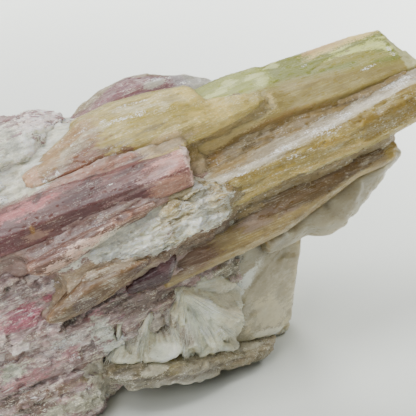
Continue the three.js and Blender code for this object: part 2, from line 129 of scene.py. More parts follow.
def oval(g, x, z, long, wide, turn=0.0):
    """1 at the middle of an oval on the front, 0 at its edge and less outside. `long` and `wide` are half its
    length and width, and `turn` is in degrees."""
    c, s = math.cos(math.radians(turn)), math.sin(math.radians(turn))
    u, v = g[:, 0] - x, g[:, 2] - z
    return 1 - np.hypot((c * u + s * v) / long, (c * v - s * u) / wide)


def patches(g, *spots, torn=0.9):
    """1 at the middle of any of several ovals (x, z, long, wide, turn), 0 at their torn edges."""
    return np.max([oval(g, *spot) for spot in spots], axis=0) + torn * waves(g, TORN_SIZE, TORN_KEY)


def along(g, *line):
    """The height z above each place x of a line given as (x, z) pairs."""
    x, z = zip(*line)
    return np.interp(g[:, 0], x, z)


def along_z(g, *line):
    """The place x at each height z of a line given as (z, x) pairs."""
    z, x = zip(*line)
    return np.interp(g[:, 2], z, x)


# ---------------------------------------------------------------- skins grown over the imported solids

SEAM_STEPS = 4
WELD = 0.001
PUSH_ROUNDS, CALM_ROUNDS = 3, 40
# How sunken or raised a place is, which the finish turns into painted shade and painted light: rounds of
# smoothing, and the weight of the way that they move the skin.
HOLLOWS = ((3, 4), (14, 1.2))


class Skin:
    """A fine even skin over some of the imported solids, in millimetres, that is then broken and marked. With
    `seam`, it first swells by that much and shrinks again, which closes the clefts between them."""

    def __init__(self, name, *solids, spacing=0.3, seam=0.0):
        self.name, self.solids, self.spacing = name, solids, spacing
        points, faces = [], []
        for solid in solids:
            mesh = nodes[solid].data
            base = len(points)
            points += [tuple(v.co / MM) for v in mesh.vertices]
            faces += [tuple(base + i for i in p.vertices) for p in mesh.polygons]
        self.marks, self.layers = {}, []
        self.cover(points, faces)
        if seam:
            for step in [seam / SEAM_STEPS] * SEAM_STEPS + [-seam / SEAM_STEPS] * SEAM_STEPS:
                self.push(step)
                self.cover(self.points, self.faces)

    def cover(self, points, faces):
        """Takes a new even skin over a closed mesh."""
        mesh = bpy.data.meshes.new("rough")
        mesh.from_pydata(points, [], faces)
        holder = bpy.data.objects.new("rough", mesh)
        bpy.context.scene.collection.objects.link(holder)
        weld = holder.modifiers.new("weld", "WELD")
        weld.merge_threshold = WELD
        remesh = holder.modifiers.new("remesh", "REMESH")
        remesh.mode, remesh.voxel_size = "VOXEL", self.spacing
        fine = bpy.data.meshes.new_from_object(holder.evaluated_get(bpy.context.evaluated_depsgraph_get()))
        bpy.data.objects.remove(holder)
        self.points = read(fine.vertices, "co", 3)
        self.edges = read(fine.edges, "vertices", 2, int)
        self.faces = read(fine.loops, "vertex_index", 1, int).reshape(-1, 4)
        bpy.data.meshes.remove(fine)
        self.look()

    def look(self):
        """Works out the places in the growth frame and the normals anew."""
        self.g = (self.points - CENTRE) @ TURNED
        a, b, c, d = (self.points[self.faces[:, i]] for i in range(4))
        flat = np.cross(c - a, d - b)
        count = len(self.points)
        out = sum(np.stack([np.bincount(self.faces[:, i], flat[:, n], count) for n in range(3)], 1)
                  for i in range(4))
        self.normals = out / np.maximum(np.linalg.norm(out, axis=1, keepdims=True), 1e-9)

    def even(self, values, rounds=1):
        """Values averaged with their neighbours."""
        a, b = self.edges.T
        count = len(self.points)
        share = np.bincount(a, minlength=count) + np.bincount(b, minlength=count)
        for _ in range(rounds):
            columns = values.reshape(count, -1).T
            summed = [np.bincount(a, c[b], count) + np.bincount(b, c[a], count) for c in columns]
            around = np.stack(summed, 1) / share[:, None]
            values = ((around + values.reshape(count, -1)) / 2).reshape(values.shape)
        return values

    def soften(self, rounds):
        """Smooths the whole skin."""
        self.points = self.even(self.points, rounds)
        self.look()

    def push(self, distance):
        """Moves the skin out along its softened normals."""
        way = self.even(self.normals, PUSH_ROUNDS)
        way /= np.maximum(np.linalg.norm(way, axis=1, keepdims=True), 1e-9)
        self.points = self.points + way * np.reshape(distance, (-1, 1))
        self.look()

    def calm(self, weight):
        """Smooths the skin where the weight is 1."""
        self.points += (self.even(self.points, CALM_ROUNDS) - self.points) * np.reshape(weight, (-1, 1))
        self.look()

    def mark(self, name, values):
        """Keeps a number for each point, which the finish reads."""
        self.marks[name] = values

    def layer(self, name, colour, strength, values):
        """A layer of the finish, which lies where the values are high and frays out near 0."""
        self.mark(name, values)
        self.layers.append((name, colour, strength))

    def painted_gleam(self, *spots, strength=1):
        """Marks ovals (x, z, long, wide, turn) of painted highlights, where the finish puts more white glints
        into the colour and makes those dots glossier.
        """
        self.mark("painted_gleam", strength * patches(self.g, *spots))

    def place(self, material, *solids):
        """Makes the piece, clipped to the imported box, in the place of its solids or of those named."""
        self.points = np.clip(self.points, BOX[0], BOX[1])
        self.look()
        # How sunken each place is, kept for the finish to darken as painted shade, and raised places to
        # lighten as painted light.
        sunk = sum(weight * ((self.even(self.points, rounds) - self.points) * self.normals).sum(1)
                   for rounds, weight in HOLLOWS)
        self.mark("hollow_shade", np.clip(self.even(sunk), -1, 1))
        mesh = bpy.data.meshes.new(self.name)
        mesh.vertices.add(len(self.points))
        mesh.vertices.foreach_set("co", (self.points * MM).ravel())
        mesh.loops.add(self.faces.size)
        mesh.loops.foreach_set("vertex_index", self.faces.ravel())
        mesh.polygons.add(len(self.faces))
        mesh.polygons.foreach_set("loop_start", np.arange(0, self.faces.size, 4))
        mesh.polygons.foreach_set("use_smooth", np.ones(len(self.faces), bool))
        mesh.update(calc_edges=True)
        for name, values in self.marks.items():
            field = mesh.attributes.new(name, "FLOAT", "POINT").data
            field.foreach_set("value", np.asarray(values, np.float32))
        solids = solids or self.solids
        settle(mesh, material, solids)


def read(items, field, width, kind=float):
    """One field of every item, `width` numbers each."""
    values = np.empty(len(items) * width, kind)
    items.foreach_get(field, values)
    return values.reshape(-1, width) if width > 1 else values


def settle(mesh, material, solids=()):
    """Puts a mesh into the scene as a piece of the specimen."""
    mesh.materials.append(material)
    piece = bpy.data.objects.new(mesh.name, mesh)
    bpy.context.scene.collection.objects.link(piece)
    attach(piece, "root")
    if solids:
        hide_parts(*solids)


# ---------------------------------------------------------------- finishes

STONE_IOR = 1.55
# The white of the glints that are painted into the colour as highlights.
PAINTED_GLINT_TONE = (0.96, 0.96, 0.92)
# Sizes of the patterns in the stone, and the share of the streaks' size that finer lines have.
HAIR_SHARES = (0.6, 0.17, 0.17)
FINE_SHARE = 3.5
CLOUD_SIZE, FROST_SIZE, VEIL_SIZE = (3.2, 2.0, 2.0), (0.36, 0.22, 0.22), (6, 1.5, 1.5)
GRAIN_SIZE, DOT_SIZE = (0.8, 0.34, 0.34), (0.42, 0.26, 0.26)
CHIP_HAIR, CHIP_CRUMB = (1.6, 0.16, 0.16), (0.5, 0.5, 0.5)
RELIEF, CHIP_RELIEF = 0.35 * MM, 0.2 * MM
SHIFT = (17.3, 5.1, 9.7)
# The sockets of a colour Mix node.
AMOUNT, FIRST, SECOND, MIXED = 0, 6, 7, 2


def tone(red, green, blue):
    """A colour given as it looks, from 11 to 255, as the linear colour that a shader takes."""
    return tuple(((c / 255 + 0.055) / 1.055) ** 2.4 for c in (red, green, blue))


class Value:
    """A shader socket that takes part in sums."""

    def __init__(self, finish, socket):
        self.finish, self.socket = finish, socket

    def sum(self, operation, first, second):
        made = self.finish.node("Math", {"operation": operation}, {0: first, 1: second})
        return Value(self.finish, made.outputs[0])

    def __add__(self, other):
        return self.sum("ADD", self, other)

    def __sub__(self, other):
        return self.sum("SUBTRACT", self, other)

    def __rsub__(self, other):
        return self.sum("SUBTRACT", other, self)

    def __mul__(self, other):
        return self.sum("MULTIPLY", self, other)

    __radd__, __rmul__ = __add__, __mul__

    def step(self, low, high):
        """From 0 at `low` to 1 at `high`, smoothly."""
        made = self.finish.node("MapRange", {"interpolation_type": "SMOOTHSTEP"},
                                {"Value": self, "From Min": low, "From Max": high})
        return Value(self.finish, made.outputs[0])


class Nodes:
    """A node tree, with one way to make its nodes."""

    def __init__(self, tree):
        self.tree = tree

    def node(self, kind, settings, inputs):
        """Any node: its type, its settings, then the values or links of its sockets."""
        made = self.tree.nodes.new("ShaderNode" + kind)
        for name, value in settings.items():
            setattr(made, name, value)
        for name, value in inputs.items():
            self.join(value, made.inputs[name])
        return made

    def join(self, value, socket):
        value = value.socket if isinstance(value, Value) else value
        if isinstance(value, bpy.types.NodeSocket):
            self.tree.links.new(value, socket)
        elif socket.type == "RGBA":
            socket.default_value = (*value, 1)
        else:
            socket.default_value = value


class Finish(Nodes):
    """A stone's material, whose patterns are sized in growth millimetres."""

    def __init__(self, name, **constants):
        self.material = bpy.data.materials.new(name)
        self.material.use_nodes = True
        super().__init__(self.material.node_tree)
        self.surface = self.tree.nodes["Principled BSDF"]
        for socket, value in constants.items():
            self.surface.inputs[socket.replace("_", " ")].default_value = value
        where = self.node("TexCoord", {}, {}).outputs["Object"]
        turned = self.node("Mapping", {"vector_type": "TEXTURE"},
                           {"Vector": where, "Location": HEART, "Rotation": LEAN, "Scale": (MM,) * 3})
        self.growth = turned.outputs[0]
        self.patterns = 0

    def spread(self, size):
        """The growth place divided by a size, moved on so that no two patterns agree."""
        self.patterns += 1
        shift = [self.patterns * s for s in SHIFT]
        made = self.node("VectorMath", {"operation": "MULTIPLY_ADD"},
                         {0: self.growth, 1: [1 / s for s in size], 2: shift})
        return made.outputs[0]

    def noise(self, size, detail=2.0, roughness=0.55):
        """Clouds from 0 to 1 with 0.5 in the middle."""
        made = self.node("TexNoise", {}, {"Vector": self.spread(size), "Scale": 1.0, "Detail": detail,
                                          "Roughness": roughness})
        return Value(self, made.outputs[0])

    def cells(self, size):
        """Grains: their distance and their random colour."""
        made = self.node("TexVoronoi", {}, {"Vector": self.spread(size), "Scale": 1.0})
        return Value(self, made.outputs["Distance"]), made.outputs["Color"]

    def mark(self, name):
        """The numbers that a skin keeps under this name."""
        return Value(self, self.node("Attribute", {"attribute_name": name}, {}).outputs["Fac"])

    def blend(self, first, second, amount):
        """The first colour at 0 and the second at 1."""
        made = self.node("Mix", {"data_type": "RGBA"}, {AMOUNT: amount, FIRST: first, SECOND: second})
        return made.outputs[MIXED]

    def shade(self, colour, strength):
        """A colour made brighter or darker by a factor."""
        return self.node("VectorMath", {"operation": "SCALE"}, {0: colour, "Scale": strength}).outputs[0]

    def red_of(self, colour):
        """One part of a random colour, as a random number."""
        return Value(self, self.node("SeparateColor", {}, {"Color": colour}).outputs[0])


def mineral(name, body, deep, pale, layers, flecks, streak=(12, 0.8, 0.8), grain=0.4, sparkle=0.3,
            bump=0.25, dull=0.4, hollow_shade=0.25, crest_light=0.2, fleck_tone=(232, 230, 210), ragged=0.55, glow=0.8,
            glow_radius=2.4, haze=0.3, painted_glints=0.8):
    """The finish of one mineral. `layers` are (mark, colour, strength), laid over the body in turn with
    ragged edges. Streaks and hairs run along the prisms, flecks are pale grains, and sparkle tips small
    faces at random. Hollows are darkened as painted shade and crests lightened as painted light, and
    glints are painted into the colour as white dots, thickest in the ovals marked for them."""
    made = Finish(name, Subsurface_Weight=glow, Subsurface_Scale=glow_radius * MM, IOR=STONE_IOR,
                  Subsurface_Radius=(1.0, 0.9, 0.72))
    long, fine = made.noise(streak, 3, 0.6), made.noise([s / FINE_SHARE for s in streak], 3, 0.65)
    hair = made.noise([s * share for s, share in zip(streak, HAIR_SHARES)], 2, 0.6)
    cloud, frost = made.noise(CLOUD_SIZE, 3, 0.6), made.noise(FROST_SIZE, 2, 0.6)
    fray = (long - 0.5) * 0.8 + (fine - 0.5) * 0.9 + (cloud - 0.5) * 0.8 + (frost - 0.5) * 1.1
    colour = made.blend(tone(*deep), tone(*body), (long * 0.6 + cloud * 0.4).step(0.36, 0.56))
    colour = made.blend(colour, tone(*pale), (fine * 0.6 + cloud * 0.4).step(0.5, 0.68))
    for mark, shade, strength in layers:
        edge = (made.mark(mark) + fray * (2 * ragged)).step(-0.1, 0.5)
        colour = made.blend(colour, tone(*shade), edge * strength)
    pit, painted_gleam = made.mark("hollow_shade"), made.mark("painted_gleam")
    veil = (made.noise(VEIL_SIZE, 4, 0.65) * 0.65 + hair * 0.35).step(0.5, 0.66)
    grit = (frost * 0.75 + hair * 0.25).step(0.52, 0.66)
    flecked = grit * (cloud + (fine - 0.5)).step(0.4, 0.62) * flecks
    colour = made.blend(colour, tone(*fleck_tone), veil * haze + flecked)
    light = 1 + (fine - 0.5) * (grain * 0.8) + (hair - 0.5) * (grain * 0.7) + (frost - 0.5) * (grain * 0.8)
    # Painted shade darkens the hollows and painted light brightens the crests.
    light = light * (1 - pit.step(0.02, 0.8) * hollow_shade) * (1 + (pit * -1).step(0.05, 0.8) * crest_light)
    _, grains = made.cells(GRAIN_SIZE)
    colour = made.shade(colour, light * (1 + (made.red_of(grains) - 0.5) * (grain * 0.45)))
    # Painted highlights: white dots and streaks laid into the base colour as glints, many more in the ovals
    # marked for them; the dots are also made glossier.
    inside, dots = made.cells(DOT_SIZE)
    bare = (fine * 0.5 + cloud * 0.5).step(0.48, 0.62) * painted_glints
    near = painted_gleam.step(0, 0.6)
    star = (made.red_of(dots) + near * 0.45).step(0.9, 0.95) * (bare + near).step(0, 1)
    star = star * (1 - inside.step(0.25, 0.6))
    shine = (frost * 0.8 + hair * 0.2 + near * 0.1).step(0.6, 0.68) * near
    colour = made.blend(colour, PAINTED_GLINT_TONE, star + shine * 0.7)
    made.join(colour, made.surface.inputs["Base Color"])
    glint = made.red_of(grains).step(0.86, 0.9)
    made.join(dull + (fine - 0.5) * 0.3 - (glint + star) * (dull - 0.2), made.surface.inputs["Roughness"])
    raised = made.node("Bump", {}, {"Strength": bump, "Distance": RELIEF,
                                    "Height": fine * 0.6 + frost * 0.8 + long * 0.4 + hair * 0.4})
    level = made.node("VectorMath", {"operation": "SUBTRACT"}, {0: grains, 1: (0.5,) * 3}).outputs[0]
    tilt = made.shade(level, (glint * 0.8 + 0.2) * (2 * sparkle))
    tipped = made.node("VectorMath", {"operation": "ADD"}, {0: raised.outputs[0], 1: tilt}).outputs[0]
    straight = made.node("VectorMath", {"operation": "NORMALIZE"}, {0: tipped}).outputs[0]
    made.join(straight, made.surface.inputs["Normal"])
    return made.material


def chips_of(name, shades, dull=0.4, glow=0.8, relief=0.3):
    """The finish of loose chips: each takes its own shade from its lot, with fine lines along the growth."""
    made = Finish(name, Subsurface_Weight=glow, Subsurface_Scale=MM, IOR=STONE_IOR,
                  Subsurface_Radius=(1.0, 0.9, 0.7))
    lot = made.mark("lot")
    colour = tone(*shades[0])
    for n, shade in enumerate(shades[1:], 1):
        colour = made.blend(colour, tone(*shade), lot.step(n / len(shades) - 0.04, n / len(shades) + 0.04))
    hair, crumb = made.noise(CHIP_HAIR, 2, 0.6), made.noise(CHIP_CRUMB, 2, 0.6)
    colour = made.shade(colour, 1 + (hair - 0.5) * 0.5 + (crumb - 0.5) * 0.5)
    made.join(colour, made.surface.inputs["Base Color"])
    made.join(dull + (hair - 0.5) * 0.3, made.surface.inputs["Roughness"])
    raised = made.node("Bump", {}, {"Strength": relief, "Distance": CHIP_RELIEF, "Height": hair + crumb})
    made.join(raised.outputs[0], made.surface.inputs["Normal"])
    return made.material


# ---------------------------------------------------------------- the pieces

CHIP_OUTLINE = ((-1, 0), (-0.55, 0.8), (0.45, 1), (1, 0.15), (0.6, -0.85), (-0.5, -1))
CHIP_SIZES = (0.6, 1.5)
CHIP_WOBBLE = 0.22
CHIP_POINTED = 0.5
CHIP_LEVELS = ((-1, 0.9), (1, 0.78))  # below and above the middle, with the width there
LAY_ROUNDS = 6


def lay(name, skin, chance, count, seed, size, material, spin, stand, lift=0.03, way=None):
    """Scatters flat six-sided chips over a skin. `chance` says how likely each point is; the chips lie along
    `way`, or else along the prisms, turned by about `spin` degrees and stood up by about `stand`."""
    random = np.random.default_rng(seed)
    chance = np.clip(chance, 0, None)
    picks = random.choice(len(chance), count, replace=False, p=chance / chance.sum())
    at, out = skin.points[picks], skin.even(skin.normals, LAY_ROUNDS)[picks]
    out /= np.linalg.norm(out, axis=1, keepdims=True)
    way = GROWTH_WAY if way is None else way[picks]
    u = way - out * (out * way).sum(1, keepdims=True)
    u /= np.maximum(np.linalg.norm(u, axis=1, keepdims=True), 1e-6)
    v = np.cross(out, u)
    turn, tip, roll = (np.radians(random.normal(0, amount, count))[:, None]
                       for amount in (spin, stand, stand))
    u, v = u * np.cos(turn) + v * np.sin(turn), v * np.cos(turn) - u * np.sin(turn)
    u, out = u * np.cos(tip) + out * np.sin(tip), out * np.cos(tip) - u * np.sin(tip)
    v, out = v * np.cos(roll) + out * np.sin(roll), out * np.cos(roll) - v * np.sin(roll)
    scale = random.uniform(*CHIP_SIZES, (count, 3)) * np.asarray(size) / 2
    points, faces, lots = [], [], []
    sides = len(CHIP_OUTLINE)
    wobble = random.uniform(-CHIP_WOBBLE, CHIP_WOBBLE, (count, sides, 2))
    for n in range(count):
        ring = [(x + dx, y * (1 - CHIP_POINTED * abs(x)) + dy)
                for (x, y), (dx, dy) in zip(CHIP_OUTLINE, wobble[n])]
        base = len(points)
        for level, shrink in CHIP_LEVELS:
            for x, y in ring:
                points.append(at[n] + out[n] * (lift + level * scale[n, 2]) + u[n] * x * scale[n, 0] * shrink
                              + v[n] * y * scale[n, 1] * shrink)
        below, above = ([base + start + i for i in range(sides)] for start in (0, sides))
        faces += [below[::-1], above]
        for i in range(sides):
            j = (i + 1) % sides
            faces.append([below[i], below[j], above[j], above[i]])
        lots += [random.random()] * (2 * sides)
    points = np.clip(np.array(points), BOX[0], BOX[1]) * MM
    mesh = bpy.data.meshes.new(name)
    mesh.from_pydata(points.tolist(), [], faces)
    mesh.attributes.new("lot", "FLOAT", "POINT").data.foreach_set("value", lots)
    settle(mesh, material)


GROOVES = 0.1


def striate(skin, key, plates, chips=0.03, swell=0.17):
    """Grooves, long broken plates and small chips on a prism."""
    g = skin.g
    furrow = ripple(g, (26, 1.0, 1.0), key) + 0.5 * ripple(g, (16, 1.8, 1.8), key + 1)
    broken = facets(g, (14, 2.0, 2.0), key + 2, tilt=1.0)
    chipped = facets(g, (3, 1.1, 1.1), key + 3)
    worn = rise(waves(g, (7, 3, 3), key + 4), 0, 0.5)
    skin.push(swell + GROOVES * furrow + plates * broken + chips * chipped * worn)


# Each maker takes the keys of its patterns from a range of its own.

def make_green():
    """The largest prism: green above, tan in front, broken off at a slant."""
    skin = Skin("green_prism", "green_crystal")
    skin.calm(rise(oval(skin.g, 17.5, 12, 6, 12), 0, 0.4))
    striate(skin, 100, plates=0.08, chips=0.02)
    g = skin.g
    skin.push(-0.2 * rise(g[:, 0] - 42.3, 0, 1.5) * (1 + facets(g, (1.5, 1.6, 1.6), 120)))
    g = skin.g
    x, z = g[:, 0], g[:, 2]
    line = along(g, (-20, 17), (18, 15.8), (29, 14), (42, 10.8))
    wander = 0.9 * waves(g, (9, 3, 1.6), 150)
    skin.layer("green", (134, 139, 60), 1, (z - line + wander) * 0.5)
    skin.layer("gold", (150, 140, 62), 0.7, 1 - np.abs(z - line + 0.5 * wander) / 0.6)
    skin.layer("straw", (168, 154, 70), 0.6, patches(g, (33, 15.5, 6, 0.9, -2), (38.5, 13.8, 4, 1.2, -4)))
    skin.layer("brown", (150, 121, 69), 0.95,
               (along(g, (-20, 11), (6, 11), (21, 10.6), (36, 8), (44, 6)) - z + wander) * 0.3)
    skin.layer("lime", (172, 178, 92), 0.75, np.minimum(oval(g, 13, 18, 10, 3), 20.2 - x) * 1.3)
    white = patches(g, (12.2, 18.9, 2.6, 0.8), (17, 18.7, 2.8, 0.5), (18.2, 17, 2, 0.9, 10),
                    (8.4, 18, 3, 0.5), (10, 16.6, 2.6, 0.5), (21, 19.2, 2.4, 0.8), torn=1.2)
    skin.layer("white", (234, 238, 172), 0.6, np.minimum(white, 22.6 - x + waves(g, (1, 1, 1), 155)))
    skin.layer("pale", (226, 233, 144), 0.8,
               patches(g, (36.5, 16.4, 5.5, 0.8, -3), (33.5, 17.3, 3, 0.35, -2), (40.6, 15, 2.6, 1.3, -40),
                       torn=1.2))
    skin.layer("peach", (244, 218, 148), 0.85,
               np.minimum(np.minimum(z - 17.6, g[:, 1] - 2.4) * 0.8, (x - 27) * 0.2))
    skin.layer("rust", (196, 158, 116), 0.6, np.minimum(np.minimum(z - 18.3, 36.5 - x), x - 27))
    # Painted light over the shade in the cleft beside the pink prism's end.
    skin.layer("root", (180, 148, 100), 0.85, oval(g, 2.5, 7.5, 4, 2.6) * 1.5)
    # Painted light under the outer prism's tip, where its shadow falls on this prism.
    skin.layer("under_tip_light", (212, 192, 132), 0.85,
               np.minimum(1 - np.abs(z - along(g, (4, 10), (9, 11), (16, 12.6), (20, 13))) / 1.8,
                          (18 - x) * 0.5) * 1.3)
    skin.layer("end", (204, 202, 152), 0.75, (x - 42.2) * 1.2)
    skin.painted_gleam((41.5, 13.8, 0.5, 2.2), (36.5, 12.2, 2.6, 0.5), (26.5, 17, 1, 0.3))
    finish = mineral("green_tourmaline", (162, 147, 87), (144, 128, 72), (176, 163, 106), skin.layers,
                     flecks=0.15, haze=0.08, grain=0.28, sparkle=0.16, painted_glints=0.2)
    skin.place(finish)


def make_outer():
    """The rind over the front of the green prism: cream at the right, salmon at the left."""
    skin = Skin("outer_prism", "outer_crystal")
    skin.calm(rise(oval(skin.g, 6, 18, 5, 6), 0, 0.4))
    striate(skin, 200, plates=0.14, chips=0.05)
    g = skin.g
    skin.push(-0.35 * rise(g[:, 0] - 11, 0, 3) * (1 + facets(g, (1.8, 1.5, 1.3), 220)))
    g = skin.g
    x = g[:, 0]
    broad = 2 * waves(g, (4, 2, 2), 250)
    skin.layer("cream", (224, 202, 122), 0.85, (x - 1 + broad) * 0.3)
    skin.layer("olive", (176, 158, 68), 0.7,
               patches(g, (-3, 18.2, 9, 1.6, -12), (-14, 19.5, 5, 1.2, 10)) * 1.2)
    skin.layer("rose", (168, 134, 102), 0.85, (-12.5 - x + broad) * 0.2)
    skin.layer("salmon", (134, 88, 68), 0.9,
               patches(g, (-18.5, 14.2, 7.5, 3.2, 4), (-11, 12.8, 4.5, 1.6, -2)) * 1.5)
    skin.layer("deep", (138, 98, 86), 0.65,
               patches(g, (-19.5, 13.2, 2.4, 1.2), (-23.2, 14.4, 2, 1.6, 30), (-11.5, 12.2, 4, 0.8)) * 1.2)
    skin.layer("mottle", (130, 114, 82), 0.6, patches(g, (-12.4, 15.5, 3.4, 1), (-18, 18, 4.5, 1.2, 12),
                                                      (-6.5, 16, 3, 0.5), (-24.8, 13.8, 1.6, 1)))
    skin.layer("left", (206, 166, 136), 0.85, (-25.4 - x + 0.5 * broad) * 0.9)
    skin.layer("white", (234, 230, 206), 0.3,
               patches(g, (-16, 19, 5, 0.9, 14), (-21.5, 16.6, 2.4, 1.2, 50), (-1.6, 18.9, 1.4, 0.9),
                       (-6, 20.6, 5, 0.8, -8), torn=1.6))
    skin.layer("tip", (196, 178, 106), 0.85, (x - 9 + 0.5 * broad) * 0.6)
    skin.layer("hem", (226, 204, 160), 0.8, patches(g, (-3.5, 13, 5, 1.4), torn=0.4) * 1.5)
    rim = along(g, (-28, 17), (-16, 21.6), (-8, 22.8), (4, 20.8), (6, 17.4), (16, 15.2))
    skin.layer("rim", (172, 156, 96), 0.8, np.maximum(x - 13.9, g[:, 2] - rim) * 0.8)
    skin.painted_gleam((-24, 15.7, 0.9, 0.8), (-22.8, 15.3, 0.6, 0.5), (-12.2, 20.4, 0.9, 0.35),
               (-18.5, 18.6, 0.6, 0.4), (-3.3, 13.5, 0.4, 0.3), (-15.8, 20.2, 2.4, 0.35, 8),
               (-8, 19.4, 5, 0.5, -6), (-6, 21.4, 4, 0.3, -8), (-13.5, 14.4, 2.4, 0.5, 4),
               (-25.2, 14.6, 0.5, 0.4))
    finish = mineral("outer_tourmaline", (200, 182, 112), (176, 158, 94), (220, 204, 144), skin.layers,
                     flecks=0.6, grain=0.55, sparkle=0.3, painted_glints=0.7, haze=0.2)
    skin.place(finish)


def make_pink():
    """The mauve prism in front, with its jagged pink end."""
    skin = Skin("pink_prism", "pink_crystal")
    striate(skin, 300, plates=0.16, chips=0.06)
    g = skin.g
    lens = oval(g, -7.8, 8.8, 4.2, 1.1, 4)
    end = rise(g[:, 0] + 2.6, 0, 1.5)
    corner = rise(g[:, 2] - 10.8, 0, 1.2) * rise(g[:, 0] + 9, 0, 5)
    skin.push(-0.5 * rise(lens, 0, 0.6) - 0.4 * end * (1 + facets(g, (1.2, 1.2, 1.0), 320)) - 0.8 * corner)
    g = skin.g
    x = g[:, 0]
    skin.layer("dark", (100, 66, 66), 0.85, np.minimum((-7.5 - x) * 0.25, 1 - np.abs(g[:, 2] - 7.8) / 2.6))
    skin.layer("left", (110, 66, 70), 0.7, (-32.5 - x) * 0.2)
    skin.layer("foot", (110, 73, 68), 0.85,
               patches(g, (-17, 5.7, 7, 1.4, 2), (-26, 9, 4.5, 1.2), (-30.5, 8.8, 2, 0.8)) * 1.6)
    skin.layer("clay", (168, 136, 118), 0.8, patches(g, (-30.6, 6.6, 2.8, 0.8)) * 1.2)
    skin.layer("low", (182, 138, 116), 0.8, oval(g, -6.5, 5.9, 4.5, 1.6) * 1.2)
    # Painted highlights on the bright facets near the pink end.
    skin.layer("wedge_highlight", (212, 158, 146), 0.9,
               patches(g, (-3.2, 9.6, 3.2, 2.6), (-6.5, 10.2, 3.2, 0.6, 4)) * 1.3)
    skin.layer("facet_highlight", (232, 184, 174), 0.85,
               patches(g, (-5.6, 9.3, 3.6, 0.45, 4), (-1.8, 9.4, 1.2, 1.8)) * 1.2)
    skin.layer("lens", (204, 170, 164), 0.85, lens)
    skin.layer("ribbon", (192, 122, 122), 0.85,
               patches(g, (-31.5, 11.2, 6, 1.1, 2), (-25.5, 11.6, 3, 0.6, 4)) * 1.3)
    skin.layer("mica", (88, 58, 58), 0.9, patches(g, (-20.5, 10.6, 5, 2), (-12.5, 10.7, 3.5, 0.8)) * 1.2)
    skin.layer("ochre", (160, 122, 60), 0.7, oval(g, -30.4, 7.6, 0.5, 0.9))
    skin.layer("spot", (76, 60, 58), 0.8, patches(g, (-27.6, 12.3, 1.2, 0.5, 30), (-18, 12.2, 2.5, 0.4, 10)))
    # The pale pink end, made paler still as painted light on the end face, which turns away into shade.
    skin.layer("end", (240, 200, 188), 0.9, (x + 2.8 + 0.6 * waves(g, (2, 1, 1), 330)) * 1.2)
    skin.layer("lines", (200, 168, 162), 0.3,
               patches(g, (-12, 9.4, 9, 0.5, 2.5), (-12, 7, 8, 0.4, 2), torn=0.5))
    skin.painted_gleam((-5.5, 10.6, 2.6, 0.6, 4), (-2.6, 8.6, 1.4, 1.2), (-19.5, 11.2, 2.5, 0.6),
               (-12, 10.4, 3.2, 0.5), (-26, 10.9, 1.8, 0.5), (-15.5, 9.8, 1.6, 0.4), strength=0.35)
    finish = mineral("pink_tourmaline", (136, 94, 89), (108, 73, 72), (166, 124, 117), skin.layers,
                     flecks=0.3, grain=0.5, sparkle=0.3, haze=0.08, painted_glints=0.2)
    skin.place(finish)


def make_splinter():
    """The thin pinkish sliver below the pink prism."""
    skin = Skin("rose_splinter_skin", "rose_splinter")
    striate(skin, 400, plates=0.14, chips=0.05, swell=0.3)
    g = skin.g
    pit = oval(g, -16.2, 4.0, 1.3, 0.6)
    skin.push(-0.4 * rise(pit, 0, 0.5))
    g = skin.g
    skin.layer("mauve", (114, 82, 74), 0.9, patches(g, (-18, 5.3, 6.5, 1.4, 2), (-29, 2.8, 3, 0.8)) * 1.7)
    skin.layer("pale", (236, 204, 188), 0.8,
               patches(g, (-29.5, 0.6, 3, 0.9), (-21.8, 2.2, 3.8, 1.3), (-25.2, 1.3, 2.4, 1)) * 1.3)
    skin.layer("edge", (196, 142, 104), 0.5,
               0.4 - np.abs(g[:, 2] - along(g, (-32, 0.6), (-28, 0.4), (-24, 1.2), (-20, 2.0))) / 0.4)
    skin.layer("white", (236, 228, 208), 0.85, patches(g, (-19, 1.1, 4.4, 1.5, 4)) * 1.6)
    skin.layer("rim", (178, 134, 108), 0.4, (1 - np.abs(oval(g, -16.2, 4.0, 1.5, 0.9)) / 0.25) * 0.8)
    skin.layer("pit", (104, 76, 70), 0.8, pit)
    skin.painted_gleam((-20.2, 5.1, 0.4, 0.3), (-21, 4.6, 3, 0.5))
    finish = mineral("rose_splinter_stone", (130, 98, 84), (108, 78, 68), (162, 130, 114), skin.layers,
                     flecks=0.8, grain=0.8, sparkle=0.3, painted_glints=0.5, ragged=1.1, fleck_tone=(222, 200, 188))
    skin.place(finish)


